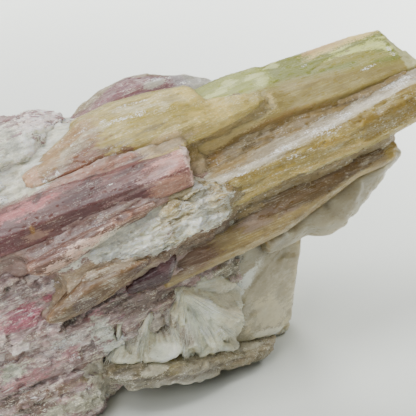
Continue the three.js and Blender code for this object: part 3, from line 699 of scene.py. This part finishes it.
def make_amber():
    """The olive amber prism, with its light ridge."""
    skin = Skin("amber_prism", "amber_crystal")
    striate(skin, 500, plates=0.12, chips=0.06)
    skin.push(0.1 * facets(skin.g, (1.3, 0.7, 0.7), 520))
    g = skin.g
    x, z = g[:, 0], g[:, 2]
    ridge = along(g, (-20, 2.6), (5.4, 3.3), (12, 3.4), (20, 4.5), (26, 4.9), (32, 5.8), (42, 6.5), (50, 7)) \
        + 0.35 * waves(g, (4, 1, 1), 550)
    skin.layer("top", (168, 156, 134), 0.9, (z - ridge) * 0.9)
    # The yellow of the lower edge, lightened as painted light where that edge falls in shade.
    skin.layer("low", (200, 172, 100), 0.8, (along(g, (-20, -1), (0, 0), (20, 0.4), (48, 2.6)) - z) * 0.8)
    skin.layer("yellow", (184, 154, 64), 0.85,
               patches(g, (23.5, 2.2, 4, 0.9), (12, 0.9, 3, 0.8), (32, 3.6, 3, 0.6)) * 1.2)
    skin.layer("right", (138, 114, 50), 0.85, np.minimum((x - 29) * 0.3, 4.4 - z))
    skin.layer("lip", (190, 170, 100), 0.5, (along(g, (-20, -2), (20, -0.6), (48, 1.6)) - z) * 1.2)
    # Painted highlights: a glittering pale band along the ridge and a pale band above it, where the top face
    # catches the light.
    skin.layer("glitter_highlight", (222, 214, 194), 0.6, 1 - np.abs(z - ridge - 0.3) / 0.7)
    skin.layer("crest_light", (218, 212, 194), 0.6, (z - ridge - along(g, (-20, 2), (20, 2.2), (50, 2))) * 0.9
               - 0.3 + 1.4 * waves(g, (4, 1, 1), 560))
    skin.layer("frosty", (206, 198, 172), 0.6, (4 - x) * 0.2)
    skin.layer("tan", (150, 124, 74), 0.85, np.maximum(patches(g, (5.8, 5.3, 5, 1.3, 5), (19, 7, 4.5, 1, 3),
                                                               torn=0.5) * 1.8, (z - ridge - 2.5) * 1.5))
    # Ovals of painted highlights, where white glints are put into the colour.
    skin.mark("painted_gleam", np.maximum((1 - np.abs(z - ridge - 0.9) / 1.2) * 0.25,
                                  patches(g, (22.8, 4.7, 3.4, 1.5, 2), (27.3, 5.9, 1.8, 0.8),
                                          (6.5, 3.2, 3.2, 0.5), (38.5, 7.4, 3.4, 1.1), (2, 2.4, 3, 0.5),
                                          (15, 4.4, 4, 0.4), (17, 2.6, 3, 0.5)) * 1.2))
    finish = mineral("amber_tourmaline", (170, 149, 80), (148, 126, 66), (188, 170, 108), skin.layers,
                     flecks=0.6, grain=0.45, sparkle=0.4, painted_glints=0.7)
    skin.place(finish)


def make_brown():
    """The flat prism in the shadow of the amber one."""
    skin = Skin("brown_prism", "brown_crystal")
    striate(skin, 600, plates=0.16, chips=0.06)
    g = skin.g
    skin.layer("lilac", (156, 134, 120), 0.75,
               patches(g, (6.5, -5.2, 4.5, 1.6, 6), (13, -6, 3, 0.8, 4)) * 1.2)
    skin.layer("straw", (176, 152, 88), 0.6,
               patches(g, (13, -6.6, 5, 0.6, 8), (25, -5, 4.5, 0.5, 6), (3, -7.4, 5, 0.5)) * 1.2)
    # Painted shadow of the amber prism, dark along the top of this one.
    skin.layer("top", (92, 68, 32), 0.9, (g[:, 2] - along(g, (-10, -4.6), (4, -4.8), (9, -6), (17, -6.3),
                                                          (21, -5.9), (34, -3.6))) * 0.7)
    skin.layer("red", (112, 80, 66), 0.85, oval(g, -6, -7, 6, 2.6, 4))
    skin.layer("end", (160, 134, 52), 0.85, (g[:, 0] - 32.6) * 0.6)
    finish = mineral("brown_tourmaline", (162, 140, 94), (136, 116, 76), (178, 158, 112), skin.layers,
                     flecks=0.2, grain=0.4, sparkle=0.25, painted_glints=0.3)
    skin.place(finish)


def make_back():
    """The mauve prism behind the top edge."""
    skin = Skin("back_prism", "back_crystal")
    striate(skin, 700, plates=0.16, chips=0.06)
    g = skin.g
    x = g[:, 0]
    skin.layer("violet", (136, 92, 100), 0.7, patches(g, (-4, 24.2, 4, 1.6, -12), (-8, 25, 3, 1.2, -8)) * 1.1)
    skin.layer("grey", (160, 156, 156), 0.8, (x - 3.5) * 0.3)
    skin.layer("frost", (190, 188, 176), 0.8, np.maximum((x - 6.5) * 0.6, oval(g, 1, 24.4, 2.6, 0.9) * 1.5))
    skin.layer("olive", (164, 158, 124), 0.7,
               (g[:, 2] - along(g, (-12, 24.6), (-6, 27), (-3, 27.4), (8, 23.9)) + 0.1) * 0.9)
    skin.painted_gleam((-1.2, 22.6, 1.2, 0.5), (1.5, 25.2, 3, 0.5, -10), (6, 22.6, 2, 0.5))
    finish = mineral("back_tourmaline", (144, 106, 108), (116, 84, 88), (178, 150, 146), skin.layers,
                     flecks=0.5)
    skin.place(finish)


def make_purple():
    """The small dark prism in the middle of the front."""
    skin = Skin("purple_prism", "purple_crystal")
    striate(skin, 800, plates=0.14, swell=0.3)
    skin.layer("light", (108, 80, 82), 0.8, oval(skin.g, -11.5, -5.8, 2.0, 2.0) * 1.2)
    finish = mineral("purple_tourmaline", (70, 38, 44), (54, 30, 36), (86, 56, 60), skin.layers, flecks=0.1,
                     grain=0.3, dull=0.3, glow=0.5, haze=0.08, painted_glints=0.4)
    skin.place(finish)


def make_tan():
    """The tan blade left of the purple prism."""
    skin = Skin("tan_blade_skin", "tan_blade")
    striate(skin, 850, plates=0.14, swell=0.35)
    g = skin.g
    skin.layer("olive", (112, 92, 64), 0.8, patches(g, (-28.5, -6.5, 4, 1.6), (-18, -3.2, 4, 0.8)) * 1.2)
    skin.layer("mauve", (92, 68, 62), 0.85, patches(g, (-27, -6.9, 2.6, 1.2), (-14.6, -5.2, 3, 1.2)) * 1.5)
    skin.layer("frosty", (196, 182, 158), 0.4,
               patches(g, (-24.2, -2.4, 1, 0.8), (-19, -3.4, 3, 0.6), torn=1.5))
    skin.painted_gleam((-24.2, -2.4, 1.2, 0.8), (-17, -3.6, 2, 0.5), strength=0.3)
    finish = mineral("tan_blade_stone", (124, 97, 68), (102, 79, 57), (146, 120, 92), skin.layers,
                     flecks=0.5, ragged=0.8)
    skin.place(finish)


def make_crust():
    """The chalky albite over the amber prism's left end, with short loose blades."""
    skin = Skin("albite_crust_skin", "albite_crust", spacing=0.25)
    skin.soften(2)
    g = skin.g
    skin.push(0.15 - 0.9 * rise(g[:, 0], 1, 3.5) - 0.9 * rise(-2.8 - g[:, 2], 0, 1)
              + 0.45 * facets(g, (6, 2.0, 1.3), 900) + 0.2 * facets(g, (2.4, 0.8, 0.6), 901)
              + 0.22 * facets(g, (0.9, 0.6, 0.45), 902) + 0.25 * waves(g, (3, 1.5, 1.2), 903))
    g = skin.g
    z = g[:, 2]
    skin.layer("lavender", (176, 150, 144), 0.7,
               patches(g, (-9.7, -1.6, 1.5, 0.7), (-13.6, 0.8, 1.5, 0.7)) * 1.3)
    skin.layer("white", (252, 249, 224), 0.95, patches(g, (-17.5, -0.5, 9, 2.8, 2), (-4, -1.6, 6, 1.6, 0),
                                                       (-1.3, 2, 2.4, 1.8, 40), (-12.5, 1.4, 2.5, 1.2)) * 1.5)
    skin.layer("straw", (184, 160, 108), 0.75, patches(g, (1.5, 2, 3.6, 2.4, 20), (2.5, -0.6, 2, 1.2)))
    edge = along(g, (-16, 2.6), (-11, 2.4), (-8, 1.8), (-5, 2.2), (0, 3.7), (6, 4))
    skin.layer("olive", (138, 118, 70), 0.85,
               np.maximum(z - edge + 0.1, g[:, 0] - 3.4 + 0.6 * waves(g, (1, 1, 1), 920)) * 1.2)
    # Painted shade along the crust's underside.
    skin.layer("underside_shade", (124, 104, 88), 0.8,
               (along(g, (-16, -3.6), (-12, -3.1), (-8, -3.5), (-3, -3.2), (3, -2.2)) - z) * 1.5)
    skin.painted_gleam((-14.3, -0.2, 0.8, 0.6), (-16, -1.2, 5, 0.9, 2), (-3.4, -1.4, 4.5, 0.8),
               (-1.2, 2, 1.6, 1, 40), (-9, -0.6, 3, 0.6))
    finish = mineral("albite_crust_stone", (218, 204, 162), (186, 170, 128), (244, 238, 206), skin.layers,
                     streak=(3, 0.7, 0.5), flecks=0.8, grain=0.4, sparkle=0.4, hollow_shade=0.15, crest_light=0.35,
                     haze=0.35, bump=0.4, ragged=0.8, fleck_tone=(250, 248, 232))
    skin.place(finish)
    blades = chips_of("albite_blades_finish", [(248, 246, 230), (236, 232, 206), (250, 250, 238),
                                               (222, 212, 180), (240, 238, 216)])
    front = rise(-skin.normals[:, 1], -0.3, 0.3) * rise(0.6 - skin.marks["olive"], 0, 0.6)
    clumps = rise(waves(skin.g, (4, 2, 1.2), 960), -0.1, 0.4)
    lay("albite_blades", skin, front * (0.1 + clumps), count=1500, seed=961, size=(1.4, 0.16, 0.1),
        material=blades, spin=18, stand=10)


def make_plate():
    """The thin layered plate along the foot."""
    skin = Skin("layered_plate_skin", "layered_plate")
    world = skin.points
    foot = np.interp(world[:, 0], [-9.5, -4.8, -0.7, 3.3, 6.2, 10.9, 15.8, 20.5],
                     [7.4, 6.1, 5.2, 4.2, 3.4, 2.6, 2.0, 2.2])
    top = np.interp(world[:, 0], [-9.5, -7.4, -4.8, -0.7, 3.3, 6.2, 10.9, 15.8, 20.5],
                    [9.6, 10.1, 10.3, 9.1, 8.3, 7.6, 6.1, 4.7, 3.8])
    share = (world[:, 2] - foot) / (top - foot)
    front = rise(-skin.normals[:, 1], 0, 0.5)
    level = share - 0.66 + 0.12 * ripple(world, (5, 5, 50), 940)
    cleft = 0.6 * front * rise(0.26 - np.abs(level), 0, 0.2) * rise(12 - world[:, 0], 0, 4)
    scallop = facets(world, (3.2, 3.2, 9), 941, tilt=0.6)
    skin.push(0.15 - 0.6 * cleft + 0.45 * scallop * rise(0.6 - share, 0, 0.3)
              + 0.2 * facets(world, (5, 4, 0.9), 950) + 0.16 * facets(world, (1.6, 1.6, 0.9), 951))
    skin.layer("white", (176, 170, 156), 0.85, (0.55 - share) * 3)
    world = skin.points
    skin.layer("olive", (128, 114, 86), 0.8, (world[:, 0] - 8) * 0.2)
    skin.layer("cleft", (132, 120, 112), 0.7, cleft * 1.1 - 0.3)
    skin.layer("rim", (176, 166, 138), 0.5, (0.12 - np.abs(share - 0.95)) * 5)
    skin.layer("gold", (140, 126, 76), 0.85,
               np.minimum((0.16 - np.abs(share - 0.9)) * 6, (4 - world[:, 0]) * 0.2))
    skin.layer("left", (122, 113, 96), 0.7, (-0.5 - world[:, 0]) * 0.3)
    skin.layer("dim", (118, 110, 92), 0.8,
               np.maximum(oval(skin.g, -24.8, -21.2, 2.4, 1.5), oval(skin.g, -19.6, -23.7, 3, 1)) * 2)
    skin.layer("lit", (206, 200, 178), 0.8,
               np.maximum(oval(skin.g, -19, -22.4, 3, 1.2), oval(skin.g, -1, -26.2, 4, 0.8, -14)) * 2)
    skin.painted_gleam((-15, -25.4, 4, 0.7), (-5, -27.5, 3, 0.6), strength=0.4)
    finish = mineral("layered_plate_stone", (158, 149, 130), (132, 122, 104), (182, 175, 160), skin.layers,
                     streak=(3, 1.5, 1.2), flecks=0.7, hollow_shade=0.35, sparkle=0.3)
    skin.place(finish)


def make_quartz():
    """The cloudy quartz, a block at the lower right and a lump above it."""
    skin = Skin("cloudy_quartz", "quartz", spacing=0.4)
    skin.soften(2)
    skin.push(0.2 + 0.25 * facets(skin.g, (7, 6, 6), 970) + 0.2 * waves(skin.g, (5, 4, 4), 972))
    skin.soften(2)
    edge = rise(oval(skin.g, 27, -11, 12, 4, 24), 0, 0.6)
    skin.push(0.05 * facets(skin.g, (2.6, 2.4, 2.4), 971)
              - 0.3 * edge * (1 + waves(skin.g, (1.6, 1.6, 1.6), 973)))
    g = skin.g
    x = g[:, 0]
    front = rise(-skin.normals[:, 1], -0.2, 0.2) - 1
    line = along_z(g, (-24, -9), (-16, 0.4), (-14.8, 2.6), (-12.4, 7), (-10, 9.6))
    skin.layer("lump", (156, 147, 122), 0.75, (g[:, 2] + 12.5) * 0.4)
    skin.layer("pale", (218, 208, 176), 0.8, patches(g, (6, -22.5, 5, 3.5)) * 1.1)
    skin.layer("fold", (136, 124, 96), 0.7,
               0.5 - np.abs(x - line - 3.6) / 1.8 + 0.6 * waves(g, (3, 3, 3), 975) + front)
    skin.layer("ridge", (244, 246, 236), 0.8,
               0.6 - np.abs(x - line) / 3.6 + 0.7 * waves(g, (3, 3, 3), 974) + front)
    # Painted shade in the pocket under the brown prism's lip.
    skin.layer("pocket_shade", (66, 60, 46), 0.9, oval(g, 1.1, -10.2, 2.6, 2) + front)
    # Painted shade in the nook at the top right of the block.
    skin.layer("nook_shade", (128, 116, 92), 0.85, oval(g, 9, -10.4, 2.6, 2.2) * 1.5)
    # Painted light on the rounded bottom corner, which falls in shade.
    skin.layer("base", (244, 238, 214), 0.7, oval(g, 5, -26.4, 5, 1.4, -14) * 2)
    finish = mineral("cloudy_quartz_stone", (182, 172, 144), (168, 157, 131), (198, 190, 166), skin.layers,
                     streak=(4, 4, 4), flecks=0.1, haze=0.12, grain=0.12, sparkle=0.08, bump=0.1, dull=0.35,
                     glow=1.0, glow_radius=5, hollow_shade=0.1, crest_light=0.1, painted_glints=0.2)
    skin.place(finish)


FAN_ROOTS = np.array([(-9.8, 0.5, -11.6), (-15.0, -0.5, -10.6)])


def make_fan():
    """The two sprays of albite, whose blades run out from their roots, with loose fibres."""
    skin = Skin("albite_fan_skin", "albite_fan", seam=1.5)
    skin.soften(3)
    g = skin.g
    left = (g[:, 0] + 0.35 * g[:, 2] + 0.6 * waves(g, (2, 2, 2), 1005) < -19.6).astype(int)
    away = g - FAN_ROOTS[left]
    reach, angle = np.hypot(away[:, 0], away[:, 2]), np.arctan2(away[:, 2], away[:, 0])
    ray = np.stack([angle, reach, g[:, 1]], 1)
    lump = rise(oval(g, -16.3, -20.4, 3.4, 1.9, -8), 0, 0.4)
    blade = (0.3 * facets(ray, (0.22, 5, 4), 1001) + 0.16 * ripple(ray, (0.07, 4, 4), 1002)
             + 0.08 * ripple(ray, (0.03, 3, 3), 1003))
    skin.push(0.1 + blade * rise(reach, 1, 4) * (1 - 0.9 * lump) + 0.5 * lump
              + 0.15 * waves(g, (2.5, 2, 2), 1004))
    g = skin.g
    skin.layer("mauve", (160, 140, 128), 0.7,
               np.maximum(oval(g, -11.6, -19.4, 1.9, 2.2), oval(g, -15, -16.6, 1.6, 1.8)) * 2)
    skin.layer("brown", (124, 106, 88), 0.8,
               np.maximum(oval(g, -20.6, -15, 2.2, 2.6), oval(g, -13.4, -15.6, 0.9, 2.6, 20)) * 1.6)
    skin.layer("white", (240, 244, 224), 0.7, np.maximum(lump, oval(g, -8, -18, 4, 4)) * 1.2)
    skin.layer("rays", (246, 246, 228), 0.4, ripple(ray, (0.05, 5, 4), 1006) * 1.6)
    skin.layer("rim", (222, 214, 188), 0.75,
               np.minimum(g[:, 0] + 4.6 + waves(g, (1.5, 1.5, 1.5), 1007), 2) * 0.5)
    skin.painted_gleam((-5.6, -21.3, 1.6, 1.6), (-8.4, -19.4, 1.4, 1.4), (-6, -17, 2, 1.2), (-25, -13.5, 1.6, 1.6),
               (-18.5, -15.5, 1, 2.4, 20))
    finish = mineral("albite_fan_stone", (232, 228, 196), (208, 200, 166), (242, 240, 216), skin.layers,
                     streak=(3, 0.9, 2.4), flecks=0.3, haze=0.3, grain=0.3, sparkle=0.4, hollow_shade=0.4)
    skin.place(finish)
    fibres = chips_of("albite_fibres_finish", [(232, 234, 212), (214, 214, 188), (242, 242, 226),
                                               (204, 202, 176)])
    roots = CENTRE + FAN_ROOTS[left] @ TURNED.T
    front = rise(-skin.normals[:, 1], -0.1, 0.4) * rise(skin.points[:, 2], 9, 11) * (1 - lump)
    clumps = rise(waves(skin.g, (2, 2, 2), 1010), 0, 0.5)
    lay("albite_fibres", skin, front * (0.05 + clumps), count=420, seed=1001, size=(3.4, 0.13, 0.1),
        material=fibres, spin=5, stand=3, lift=0.0, way=skin.points - roots)


def make_matrix():
    """The rock of albite and mica that carries the rest, with loose flakes of mica."""
    skin = Skin("mica_rock", "matrix", spacing=0.42)
    g = skin.g
    skin.push(0.15 + 0.34 * facets(g, (7, 2.4, 1.8), 1100) + 0.18 * facets(g, (2.4, 1.1, 0.9), 1101)
              + 0.1 * facets(g, (1.2, 0.7, 0.6), 1103) + 0.25 * waves(g, (7, 2.5, 2), 1102))
    g = skin.g
    gash = np.maximum(patches(g, (-29, -8.5, 2.7, 0.9, 12), torn=0.4) * 2,
                      patches(g, (-23.5, -8, 4.5, 0.8, 8)) * 0.7)
    holes = patches(g, (-33.8, 2.0, 2.2, 1.2, 20), (-37.8, 0.2, 0.8, 0.4, 10))
    skin.push(-0.8 * rise(np.maximum(gash, holes), 0, 0.6))
    g, world = skin.g, skin.points
    z = g[:, 2]
    behind = rise(world[:, 1] + 5 * waves(g, (8, 8, 8), 1150), 5, 12)
    skin.layer("grey", (150, 134, 132), 0.8,
               patches(g, (-34.5, -1.2, 2.4, 1.2), (-27.5, -14, 2.4, 1.6)) * 1.2)
    skin.layer("brown", (134, 108, 92), 0.8,
               patches(g, (-24, -7.2, 6, 1.2, 4), (-38, -19.4, 4, 1.4, 4), (-29.6, 4.3, 4.4, 1)) * 0.8)
    skin.layer("white", (216, 218, 200), 0.95,
               np.maximum(patches(g, (-27.5, 19.5, 9, 7), (-30, 14, 5, 1.6)) * 2, behind * 2 - 1.3))
    skin.layer("milk", (250, 250, 236), 0.95, patches(g, (-25.2, 21.2, 2.2, 3.2), (-29.8, 15.2, 4.5, 2.6),
                                                      (-20, 22.6, 4, 1.1, 8), (-28.8, 19.1, 2, 0.9)) * 1.5)
    skin.layer("rock_grey", (162, 162, 146), 0.75,
               patches(g, (-27.8, 21.9, 2.2, 1.6), (-27, 24, 1.4, 1.2)) * 1.3)
    skin.layer("crack", (158, 164, 146), 0.4,
               (0.3 - np.abs(z - along(g, (-34, 16.4), (-30, 17.4), (-26.5, 18.6), (-25, 19.4)))) * 2.5)
    skin.layer("crust", (246, 228, 224), 0.85, patches(g, (-21, 25.3, 5, 1.8)) * 1.5)
    skin.layer("shade", (108, 88, 76), 0.85, patches(g, (-42, -18, 4.5, 1.7), (-40, -20.6, 6, 2)) * 1.8)
    skin.layer("pale", (230, 214, 208), 0.8,
               patches(g, (-41, -10, 4.5, 1.6, 4), (-30.6, -12.6, 4.5, 2.8, 6), (-33, 0.4, 3, 1),
                       (-36.8, 4.2, 2.6, 1.3), (-24.4, -10.6, 2, 0.9), (-29.6, -2.3, 3, 1),
                       (-36, -12.6, 2.4, 1)) * 1.5)
    skin.layer("rosy", (192, 132, 138), 0.8,
               patches(g, (-25.6, -9.6, 2.2, 1.4, 10), (-40, -15.2, 6, 1.2, 6), (-31.5, -14.2, 2, 1.2)) * 1.3)
    skin.layer("hot", (180, 94, 116), 0.75,
               patches(g, (-37.5, -4.8, 5.5, 2.2, -4), (-31.6, -4, 2.2, 0.9, 4)) * 1.6)
    skin.layer("green", (190, 196, 174), 0.85, patches(g, (-42, -13.2, 3.2, 1.3, 4)) * 1.5)
    skin.layer("foot", (170, 168, 146), 0.9,
               patches(g, (-32.3, -23, 5.6, 2, -3), (-37.5, -22.4, 3.4, 1.2), torn=0.3) * 1.8)
    skin.layer("olive", (172, 160, 122), 0.85, patches(g, (-29.6, -19.4, 2.8, 0.9, -8), torn=0.5) * 1.4)
    skin.layer("lit", (232, 224, 202), 0.85, oval(g, -28, -20.5, 2.8, 4.4, 10) * 2)
    skin.layer("soil", (128, 108, 88), 0.8, patches(g, (-33.8, -19.1, 2.8, 1), torn=0.5) * 1.6)
    skin.layer("spray", (224, 228, 214), 0.85, patches(g, (-25.4, -12.6, 2.2, 2.6, -10),
                                                       (-24.6, -16.5, 2, 1.6), (-23.6, -14, 1.8, 1.8)) * 1.5)
    skin.layer("fan_back", (124, 104, 94), 0.85,
               patches(g, (-16.5, -10.8, 6.5, 2.2), (-21.6, -9.2, 3, 0.9), torn=0.4) * 1.6)
    skin.layer("fan_lit", (206, 196, 184), 0.8, oval(g, -15, -15.2, 4.5, 2.4) * 1.6)
    skin.layer("clay", (130, 102, 94), 0.8, patches(g, (-29.6, 4.3, 4.6, 1.2), (-36.2, -8.6, 2.4, 0.8)) * 1.6)
    # Painted shade in the pocket under the brown prism's lip, where the rock shows.
    skin.layer("pocket_shade", (118, 110, 86), 0.9, oval(g, 0.6, -11.6, 3.4, 3) * 1.5)
    cracks = ((-44, -11.4), (-37, -11.2), (-33.4, -10.4)), ((-44, -15.6), (-38, -15.2), (-34, -14.6))
    skin.layer("lines", (120, 92, 84), 0.5,
               np.max([0.25 - np.abs(z - along(g, *crack)) for crack in cracks], axis=0) * 3)
    # Painted shade in the gash and the holes.
    skin.layer("dark", (96, 70, 74), 0.9, np.maximum(gash, holes) * 2)
    skin.painted_gleam((-29.2, -3, 0.7, 0.4), (-30.8, -21, 1.6, 0.3, 4), (-41.8, -11.3, 2, 0.3),
               (-24.9, -12.8, 1.2, 1.2), (-30.4, -15, 2, 1), (-33.5, -4.4, 2, 0.6), (-28.7, 18.4, 0.6, 0.4),
               (-31, -12, 4, 1.2))
    finish = mineral("mica_rock_stone", (186, 161, 158), (142, 115, 113), (224, 216, 208), skin.layers,
                     streak=(6, 1.1, 0.9), flecks=0.8, haze=0.4, grain=0.8, sparkle=0.4, hollow_shade=0.3,
                     glow=0.8, glow_radius=1.6, ragged=1.1)
    skin.place(finish)
    mica = chips_of("mica_flakes_finish", [(186, 150, 154), (214, 198, 194), (160, 118, 126),
                                           (224, 216, 206), (196, 160, 160), (140, 108, 110)],
                    dull=0.3, relief=0.15, glow=0.6)
    covered = patches(g, (-27.5, 19.5, 10, 7.5), (-32, -23, 6, 3), (-6, -13, 14, 6))
    bare = (covered < 0.05) & (behind < 0.4) & (gash < 0) & (holes < 0)
    clumps = rise(waves(g, (6, 3, 3), 1160), -0.2, 0.6)
    lay("mica_flakes", skin, bare * clumps, count=1300, seed=1161, size=(1.8, 0.3, 0.12), material=mica,
        spin=10, stand=9)


def make_seams():
    """The rock that has grown into the clefts between the prisms."""
    every = [n for n in nodes if n not in ("layered_plate", "albite_fan", "quartz")]
    skin = Skin("grown_seams", *every, spacing=0.5, seam=2.4)
    skin.soften(6)
    gash = oval(skin.g, -29, -8.5, 3, 1.1, 12)
    deep = np.maximum(rise(-6 - skin.g[:, 2], 0, 2.5) * rise(-14 - skin.g[:, 0], 0, 4)
                      * rise(skin.g[:, 2] + 17, 0, 2),
                      rise(-30 - skin.g[:, 0], 0, 2) * rise(2 - skin.g[:, 2], 0, 2))
    bare = np.maximum(oval(skin.g, -8, 0.3, 13, 3.4), oval(skin.g, -2, 12.8, 5, 1.6))
    filled = rise(oval(skin.g, 0.6, 8.2, 2, 2.6), 0, 0.5)
    skin.push(-0.3 - 0.8 * deep - rise(gash, 0, 0.5) - 0.6 * rise(bare, 0, 0.3) + 1.1 * filled
              + 0.22 * facets(skin.g, (8, 1.4, 1.1), 1200) + 0.1 * facets(skin.g, (3, 0.9, 0.8), 1201))
    g = skin.g
    x, z = g[:, 0], g[:, 2]
    skin.layer("mauve", (160, 124, 118), 0.9, np.minimum(2 - x, 13.8 - z) * 1.2)
    skin.layer("straw", (184, 162, 132), 0.9, oval(g, -24, -4.5, 12, 4) * 3)
    skin.layer("white", (250, 248, 230), 0.9, patches(g, (-3, 4, 4.5, 2.4), (-14, 0.4, 13, 2.6)) * 3)
    skin.layer("tan", (136, 112, 62), 0.95, (x - 1 - 1.5 * rise(z, 7, 4)) * 1.2)
    skin.layer("rose", (140, 106, 98), 0.8, oval(g, -26, -8, 12, 3) * 3)
    skin.layer("salmon", (172, 124, 104), 0.9, oval(g, -18, 13, 9, 2.2, 4) * 3)
    skin.layer("olive", (150, 130, 84), 0.8, patches(g, (0.5, 8.2, 3, 2.2), (-5, 4, 3, 1.2)) * 3)
    # Painted shade in the same pocket, where the seams show.
    skin.layer("pocket_shade", (128, 116, 92), 0.9, patches(g, (1, -11.4, 5, 3), (-5, -10.4, 4, 1.6)) * 3)
    # Painted shade in the gap between the crust and the brown prism below it.
    skin.layer("under_crust_shade", (120, 94, 66), 0.9, oval(g, -5, -3.6, 9, 2.2, 4) * 3)
    skin.layer("cleft", (160, 130, 76), 0.9, oval(g, 3, 7.8, 3, 2) * 3)
    skin.layer("cream", (214, 194, 158), 0.9,
               np.maximum(oval(g, -3, 13.2, 6, 2.2), oval(g, 0.6, 8.6, 2.6, 3)) * 3)
    # Painted light under the outer prism's tip, as on the green prism.
    skin.layer("under_tip_light", (200, 178, 124), 0.9,
               np.minimum(1 - np.abs(z - along(g, (4, 10), (9, 11), (16, 12.6))) / 2, (18 - x) * 0.5) * 2)
    skin.layer("foot", (206, 198, 176), 0.9, oval(g, -28, -20.5, 5, 4) * 3)
    skin.layer("clay", (112, 82, 74), 0.85,
               patches(g, (-18.5, 5.6, 8, 1.5, 2), (-29.5, 4.2, 5, 1.4), torn=0.5) * 2)
    # Painted shade in the gash.
    skin.layer("dark", (98, 72, 74), 0.9, gash * 3)
    finish = mineral("seam_stone", (240, 238, 218), (216, 212, 184), (248, 248, 234), skin.layers,
                     flecks=0.4, haze=0.2, grain=0.6, ragged=0.8)
    skin.place(finish, "matrix")


for make in (make_green, make_outer, make_pink, make_splinter, make_amber, make_brown, make_back,
             make_purple, make_tan, make_crust, make_plate, make_quartz, make_fan, make_matrix, make_seams):
    make()

# ---------------------------------------------------------------- floor, light and camera

FLOOR_WIDE = 6
SKY_LOW, SKY_HIGH, SKY_TOP = 0.05, 0.25, 0.9
SPECIMEN = (0.008, 0, 0.03)
VIEW_WAY, VIEW_AWAY = Vector((0, -0.8988, 0.4384)), 0.26
FOCAL_LENGTH, SENSOR, NEAREST = 128.57, 36, 0.01

bpy.ops.mesh.primitive_plane_add(size=FLOOR_WIDE)
floor = bpy.context.object
floor.name = "floor"
paper = Finish("pale_floor", Roughness=0.9)
paper.join(paper.blend(tone(229, 234, 227), tone(227, 232, 225), paper.noise((60, 60, 60))),
           paper.surface.inputs["Base Color"])
floor.data.materials.append(paper.material)

world = bpy.data.worlds.new("studio")
bpy.context.scene.world = world
world.use_nodes = True
sky = Nodes(world.node_tree)
height = sky.node("SeparateXYZ", {}, {0: sky.node("TexCoord", {}, {}).outputs["Generated"]}).outputs["Z"]
strength = sky.node("MapRange", {},
                    {"Value": height, "From Max": SKY_TOP, "To Min": SKY_LOW, "To Max": SKY_HIGH})
sky.join(strength.outputs[0], sky.tree.nodes["Background"].inputs["Strength"])
sky.join((1, 1, 1), sky.tree.nodes["Background"].inputs["Color"])


def lamp(name, at, towards, size, power, spread=180):
    """A square lamp of `size` metres and `power` watts; `spread` is in degrees."""
    light = bpy.data.lights.new(name, "AREA")
    light.size, light.energy, light.spread = size, power, math.radians(spread)
    holder = bpy.data.objects.new(name, light)
    bpy.context.scene.collection.objects.link(holder)
    holder.location = at
    holder.rotation_euler = (Vector(towards) - Vector(at)).to_track_quat("-Z", "Y").to_euler()


lamp("key_light", (-0.18, -0.14, 0.50), SPECIMEN, size=0.24, power=2.6)
lamp("front_light", (-0.20, -0.42, 0.34), SPECIMEN, size=0.24, power=1.2)
lamp("right_light", (0.33, 0.18, 0.30), (0.31, 0.16, 0), size=0.16, power=3.6, spread=88)
lamp("left_back_light", (-0.10, 0.42, 0.40), (-0.10, 0.36, 0), size=0.2, power=2.0, spread=95)
lamp("far_light", (0.05, 0.65, 0.40), (0.05, 0.62, 0), size=0.3, power=3.0, spread=95)

lens = bpy.data.cameras.new("camera")
camera = bpy.data.objects.new("camera", lens)
bpy.context.scene.collection.objects.link(camera)
camera.location = HEART + VIEW_AWAY * VIEW_WAY
camera.rotation_euler = (HEART - camera.location).to_track_quat("-Z", "Y").to_euler()
lens.lens, lens.sensor_width, lens.clip_start = FOCAL_LENGTH, SENSOR, NEAREST
bpy.context.scene.camera = camera
